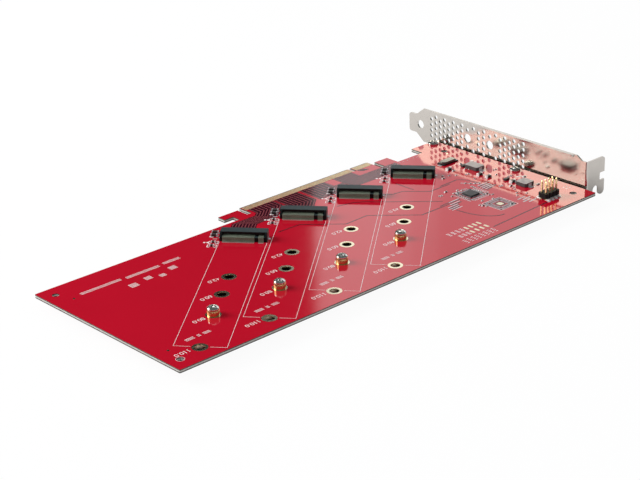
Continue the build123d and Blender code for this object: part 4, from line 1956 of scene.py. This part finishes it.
@dataclass(frozen=True)
class FarStrip:
    """A glowing strip that only gloss and metal see: an arc of headings about a middle, by two heights.

    Headings are in degrees from +X towards +Y, and a strength of one is white.
    """

    name: str
    middle: Point
    distance: float
    headings: Point
    heights: Point
    strength: float
    tint: Colour = (1.0, 1.0, 1.0)
    steps: int = 24

    def build(self) -> None:
        """Makes the strip: x = distance times the heading's cosine, y = distance times its sine."""
        turn, height = np.meshgrid(np.radians(np.linspace(*self.headings, self.steps)), self.heights)
        x = self.middle[0] + self.distance * np.cos(turn)
        y = self.middle[1] + self.distance * np.sin(turn)
        graph = Graph.named(self.name)
        glow = {"Color": (*self.tint, 1.0), "Strength": self.strength}
        graph.end(graph.node("ShaderNodeEmission", None, glow))
        strip = in_scene(self.name, mesh_of(self.name, grid(np.stack([x, y, height], -1)), graph.owner))
        strip.visible_camera = False
        strip.visible_diffuse = False
        strip.visible_shadow = False
        strip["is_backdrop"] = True


@dataclass
class Studio:
    """Pale floor with a painted shade under the card, soft light from the back left, and glowing strips for
    the gloss.

    The board mirrors what stands behind it, so the white strips start at the heading where the
    photograph's board turns from deep red to pale, seen from the camera's own place.
    """

    eye: Triple
    floor_size: float = 12000.0
    floor_glow: float = 0.95
    paper: Colour = (0.86, 0.86, 0.86)
    # painted shade: the floor's colour under the card, near black
    painted_floor_shade: Colour = (0.02, 0.016, 0.016)
    shade_low: Point = (-186.0, -99.0)
    shade_high: Point = (62.5, -18.0)
    behind_gap: float = 50.0
    behind_gap_more: float = 20.0
    shade_soft: float = 2.0
    key_from: Triple = (-900.0, 1000.0, 760.0)
    key_aim: Triple = (-60.0, -50.0, 0.0)
    key_size: float = 900.0
    key_watts: float = 27.0
    white: Colour = (1.0, 1.0, 1.0)
    warm: Colour = (1.0, 0.96, 0.86)
    world_colour: Colour = (0.95, 0.97, 1.0)
    world_strength: float = 0.62
    gloss_colour: Colour = (0.9, 1.0, 0.95)
    world_gloss: float = 0.13
    dark_gloss: float = 0.02
    dark_cosines: Point = (0.93, 0.965)
    strip_distance: float = 4500.0
    strip_heights: Point = (400.0, 3400.0)
    strip_edges: tuple[float, ...] = (47.75, 46.4, 45.2, 44.2, 43.2, 41.6, 38.0, 0.0)
    strip_strengths: tuple[float, ...] = (1.3, 1.3, 1.2, 1.02, 0.82, 0.96, 0.9)
    box_middle: Point = (60.0, -44.0)
    box_distance: float = 1800.0
    box_headings: Point = (112.0, 156.0)
    box_heights: Point = (420.0, 1500.0)
    box_strength: float = 5.6
    high_distance: float = 900.0
    high_headings: Point = (10.0, 85.0)
    high_heights: Point = (1300.0, 2300.0)
    high_strength: float = 2.4

    def build(self) -> None:
        """Makes the world, the floor, the lamp and the strips."""
        self._world()
        self._floor()
        self._key()
        for strip in self._strips():
            strip.build()

    def _strips(self) -> list[FarStrip]:
        """The white strips that the board mirrors, side by side, the soft box, and a strip high up.

        Returns:
            The strips.
        """
        spans = zip(self.strip_edges[:-1], self.strip_edges[1:], self.strip_strengths)
        middle, distance = self.eye[:2], self.strip_distance
        white = [
            FarStrip(f"white_strip_{n}", middle, distance, (start, end), self.strip_heights, strength)
            for n, (start, end, strength) in enumerate(spans, 1)
        ]
        box = FarStrip(
            "soft_box", self.box_middle, self.box_distance, self.box_headings, self.box_heights,
            self.box_strength, self.warm,
        )
        high = FarStrip(
            "high_strip", self.box_middle, self.high_distance, self.high_headings, self.high_heights,
            self.high_strength,
        )
        return [*white, box, high]

    def _world(self) -> None:
        """White to the camera, grey to gloss, and a soft grey to everything else.

        Gloss finds it dark in a cone about the way that the board mirrors the camera's own view: the
        cosine from the cone's axis, turned into a soft step.
        """
        world = bpy.data.worlds.new("world")
        bpy.context.scene.world = world
        graph = Graph(world)
        heading = Vector(self.box_middle) - Vector(self.eye[:2])
        axis = Vector((heading.x, heading.y, self.eye[2])).normalized()
        way = graph.node("ShaderNodeTexCoord", output="Generated")
        cosine = graph.node("ShaderNodeVectorMath", {"operation": "DOT_PRODUCT"}, {0: way, 1: axis}, "Value")
        gloss_level = cosine.ramp(*self.dark_cosines, self.world_gloss, self.dark_gloss)
        soft, gloss, seen = (
            graph.node("ShaderNodeBackground", None, {"Color": (*colour, 1.0), "Strength": strength})
            for colour, strength in (
                (self.world_colour, self.world_strength),
                (self.gloss_colour, gloss_level),
                (self.white, 1.0),
            )
        )
        is_gloss = graph.node("ShaderNodeLightPath", output="Is Glossy Ray")
        is_camera = graph.node("ShaderNodeLightPath", output="Is Camera Ray")
        unseen = graph.node("ShaderNodeMixShader", None, {0: is_gloss, 1: soft, 2: gloss})
        both = graph.node("ShaderNodeMixShader", None, {0: is_camera, 1: unseen, 2: seen})
        graph.end(both, "ShaderNodeOutputWorld")

    def _floor(self) -> None:
        """A pale plane under the card, mostly its own white to the camera, so that shadows stay soft; under
        the card it is painted near black as a painted shade, and does not glow there.
        """
        graph = Graph.named("floor_paper")
        shade = self._under_card(graph)
        # painted shade: the colour runs to near black under the card, and the glow to the camera is taken
        # away there
        colour = graph.mix(shade, self.paper, self.painted_floor_shade)
        paper = graph.node("ShaderNodeBsdfDiffuse", None, {"Color": colour})
        glow = graph.node("ShaderNodeEmission", None, {"Color": (*self.white, 1.0), "Strength": 1.0})
        seen = graph.node("ShaderNodeLightPath", output="Is Camera Ray") * (1.0 - shade) * self.floor_glow
        graph.end(graph.node("ShaderNodeMixShader", None, {0: seen, 1: paper, 2: glow}))
        low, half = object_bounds()[0].z / MM, self.floor_size / 2
        corners = spots([(-half, -half), (half, -half), (half, half), (-half, half)], low)
        plane = Surface(corners, [np.arange(4)[None]])
        in_scene("floor", mesh_of("floor", plane, graph.owner))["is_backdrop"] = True

    def _under_card(self, graph: Graph) -> Field:
        """Where the floor's painted shade lies: one under the card, nought away from it: the product of a
        soft step at each of its four sides.

        Behind the gap before the bracket the painted shade reaches further towards the fingers.

        Args:
            graph: the floor's tree.

        Returns:
            The field.
        """
        x, y = graph.part(graph.place(), 0), graph.part(graph.place(), 1)
        soft = self.shade_soft
        nearer = y - x.ramp(self.behind_gap - soft, self.behind_gap + soft) * self.behind_gap_more
        spans = [
            place.ramp(low - soft, low + soft) * (1.0 - place.ramp(high - soft, high + soft))
            for place, low, high in zip((x, nearer), self.shade_low, self.shade_high)
        ]
        return spans[0] * spans[1]

    def _key(self) -> None:
        """A large square lamp at the back left, aimed at the middle of the board, for the matt surfaces."""
        data = bpy.data.lights.new("key", "AREA")
        data.shape = "SQUARE"
        data.size = self.key_size * MM
        data.energy = self.key_watts
        lamp = in_scene("key", data)
        lamp.matrix_world = aimed(self.key_from, self.key_aim)
        lamp.visible_glossy = False


def main() -> None:
    """Loads the frame, sets the studio, dresses the card and adds its small pieces."""
    logging.basicConfig(level=logging.INFO, format="%(message)s")
    bpy.context.scene.view_settings.view_transform = "Standard"
    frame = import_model()
    dressing = Dressing()
    camera = Camera()
    camera.build()
    Studio(camera.eye).build()
    for subpart in frame["record"]["subparts"]:
        mesh = bpy.data.objects[subpart["node"]].data
        mesh.materials.clear()
        mesh.materials.append(dressing.of_node(subpart["node"], Slot(subpart["material_slot"])))
    lines = ModuleLine.read(frame["record"])
    sockets = [SocketContacts(line, number) for number, line in enumerate(lines, 1)]
    assemblies = [
        RingPads(lines), Standoffs(lines), Screws.module(lines), Screws.bracket(), BracketLip(), *sockets,
        Lanes(lines), BoardPrint(lines), ChipRegion(lines),
    ]
    for assembly in assemblies:
        assembly.build(dressing)


if __name__ == "__main__":
    main()
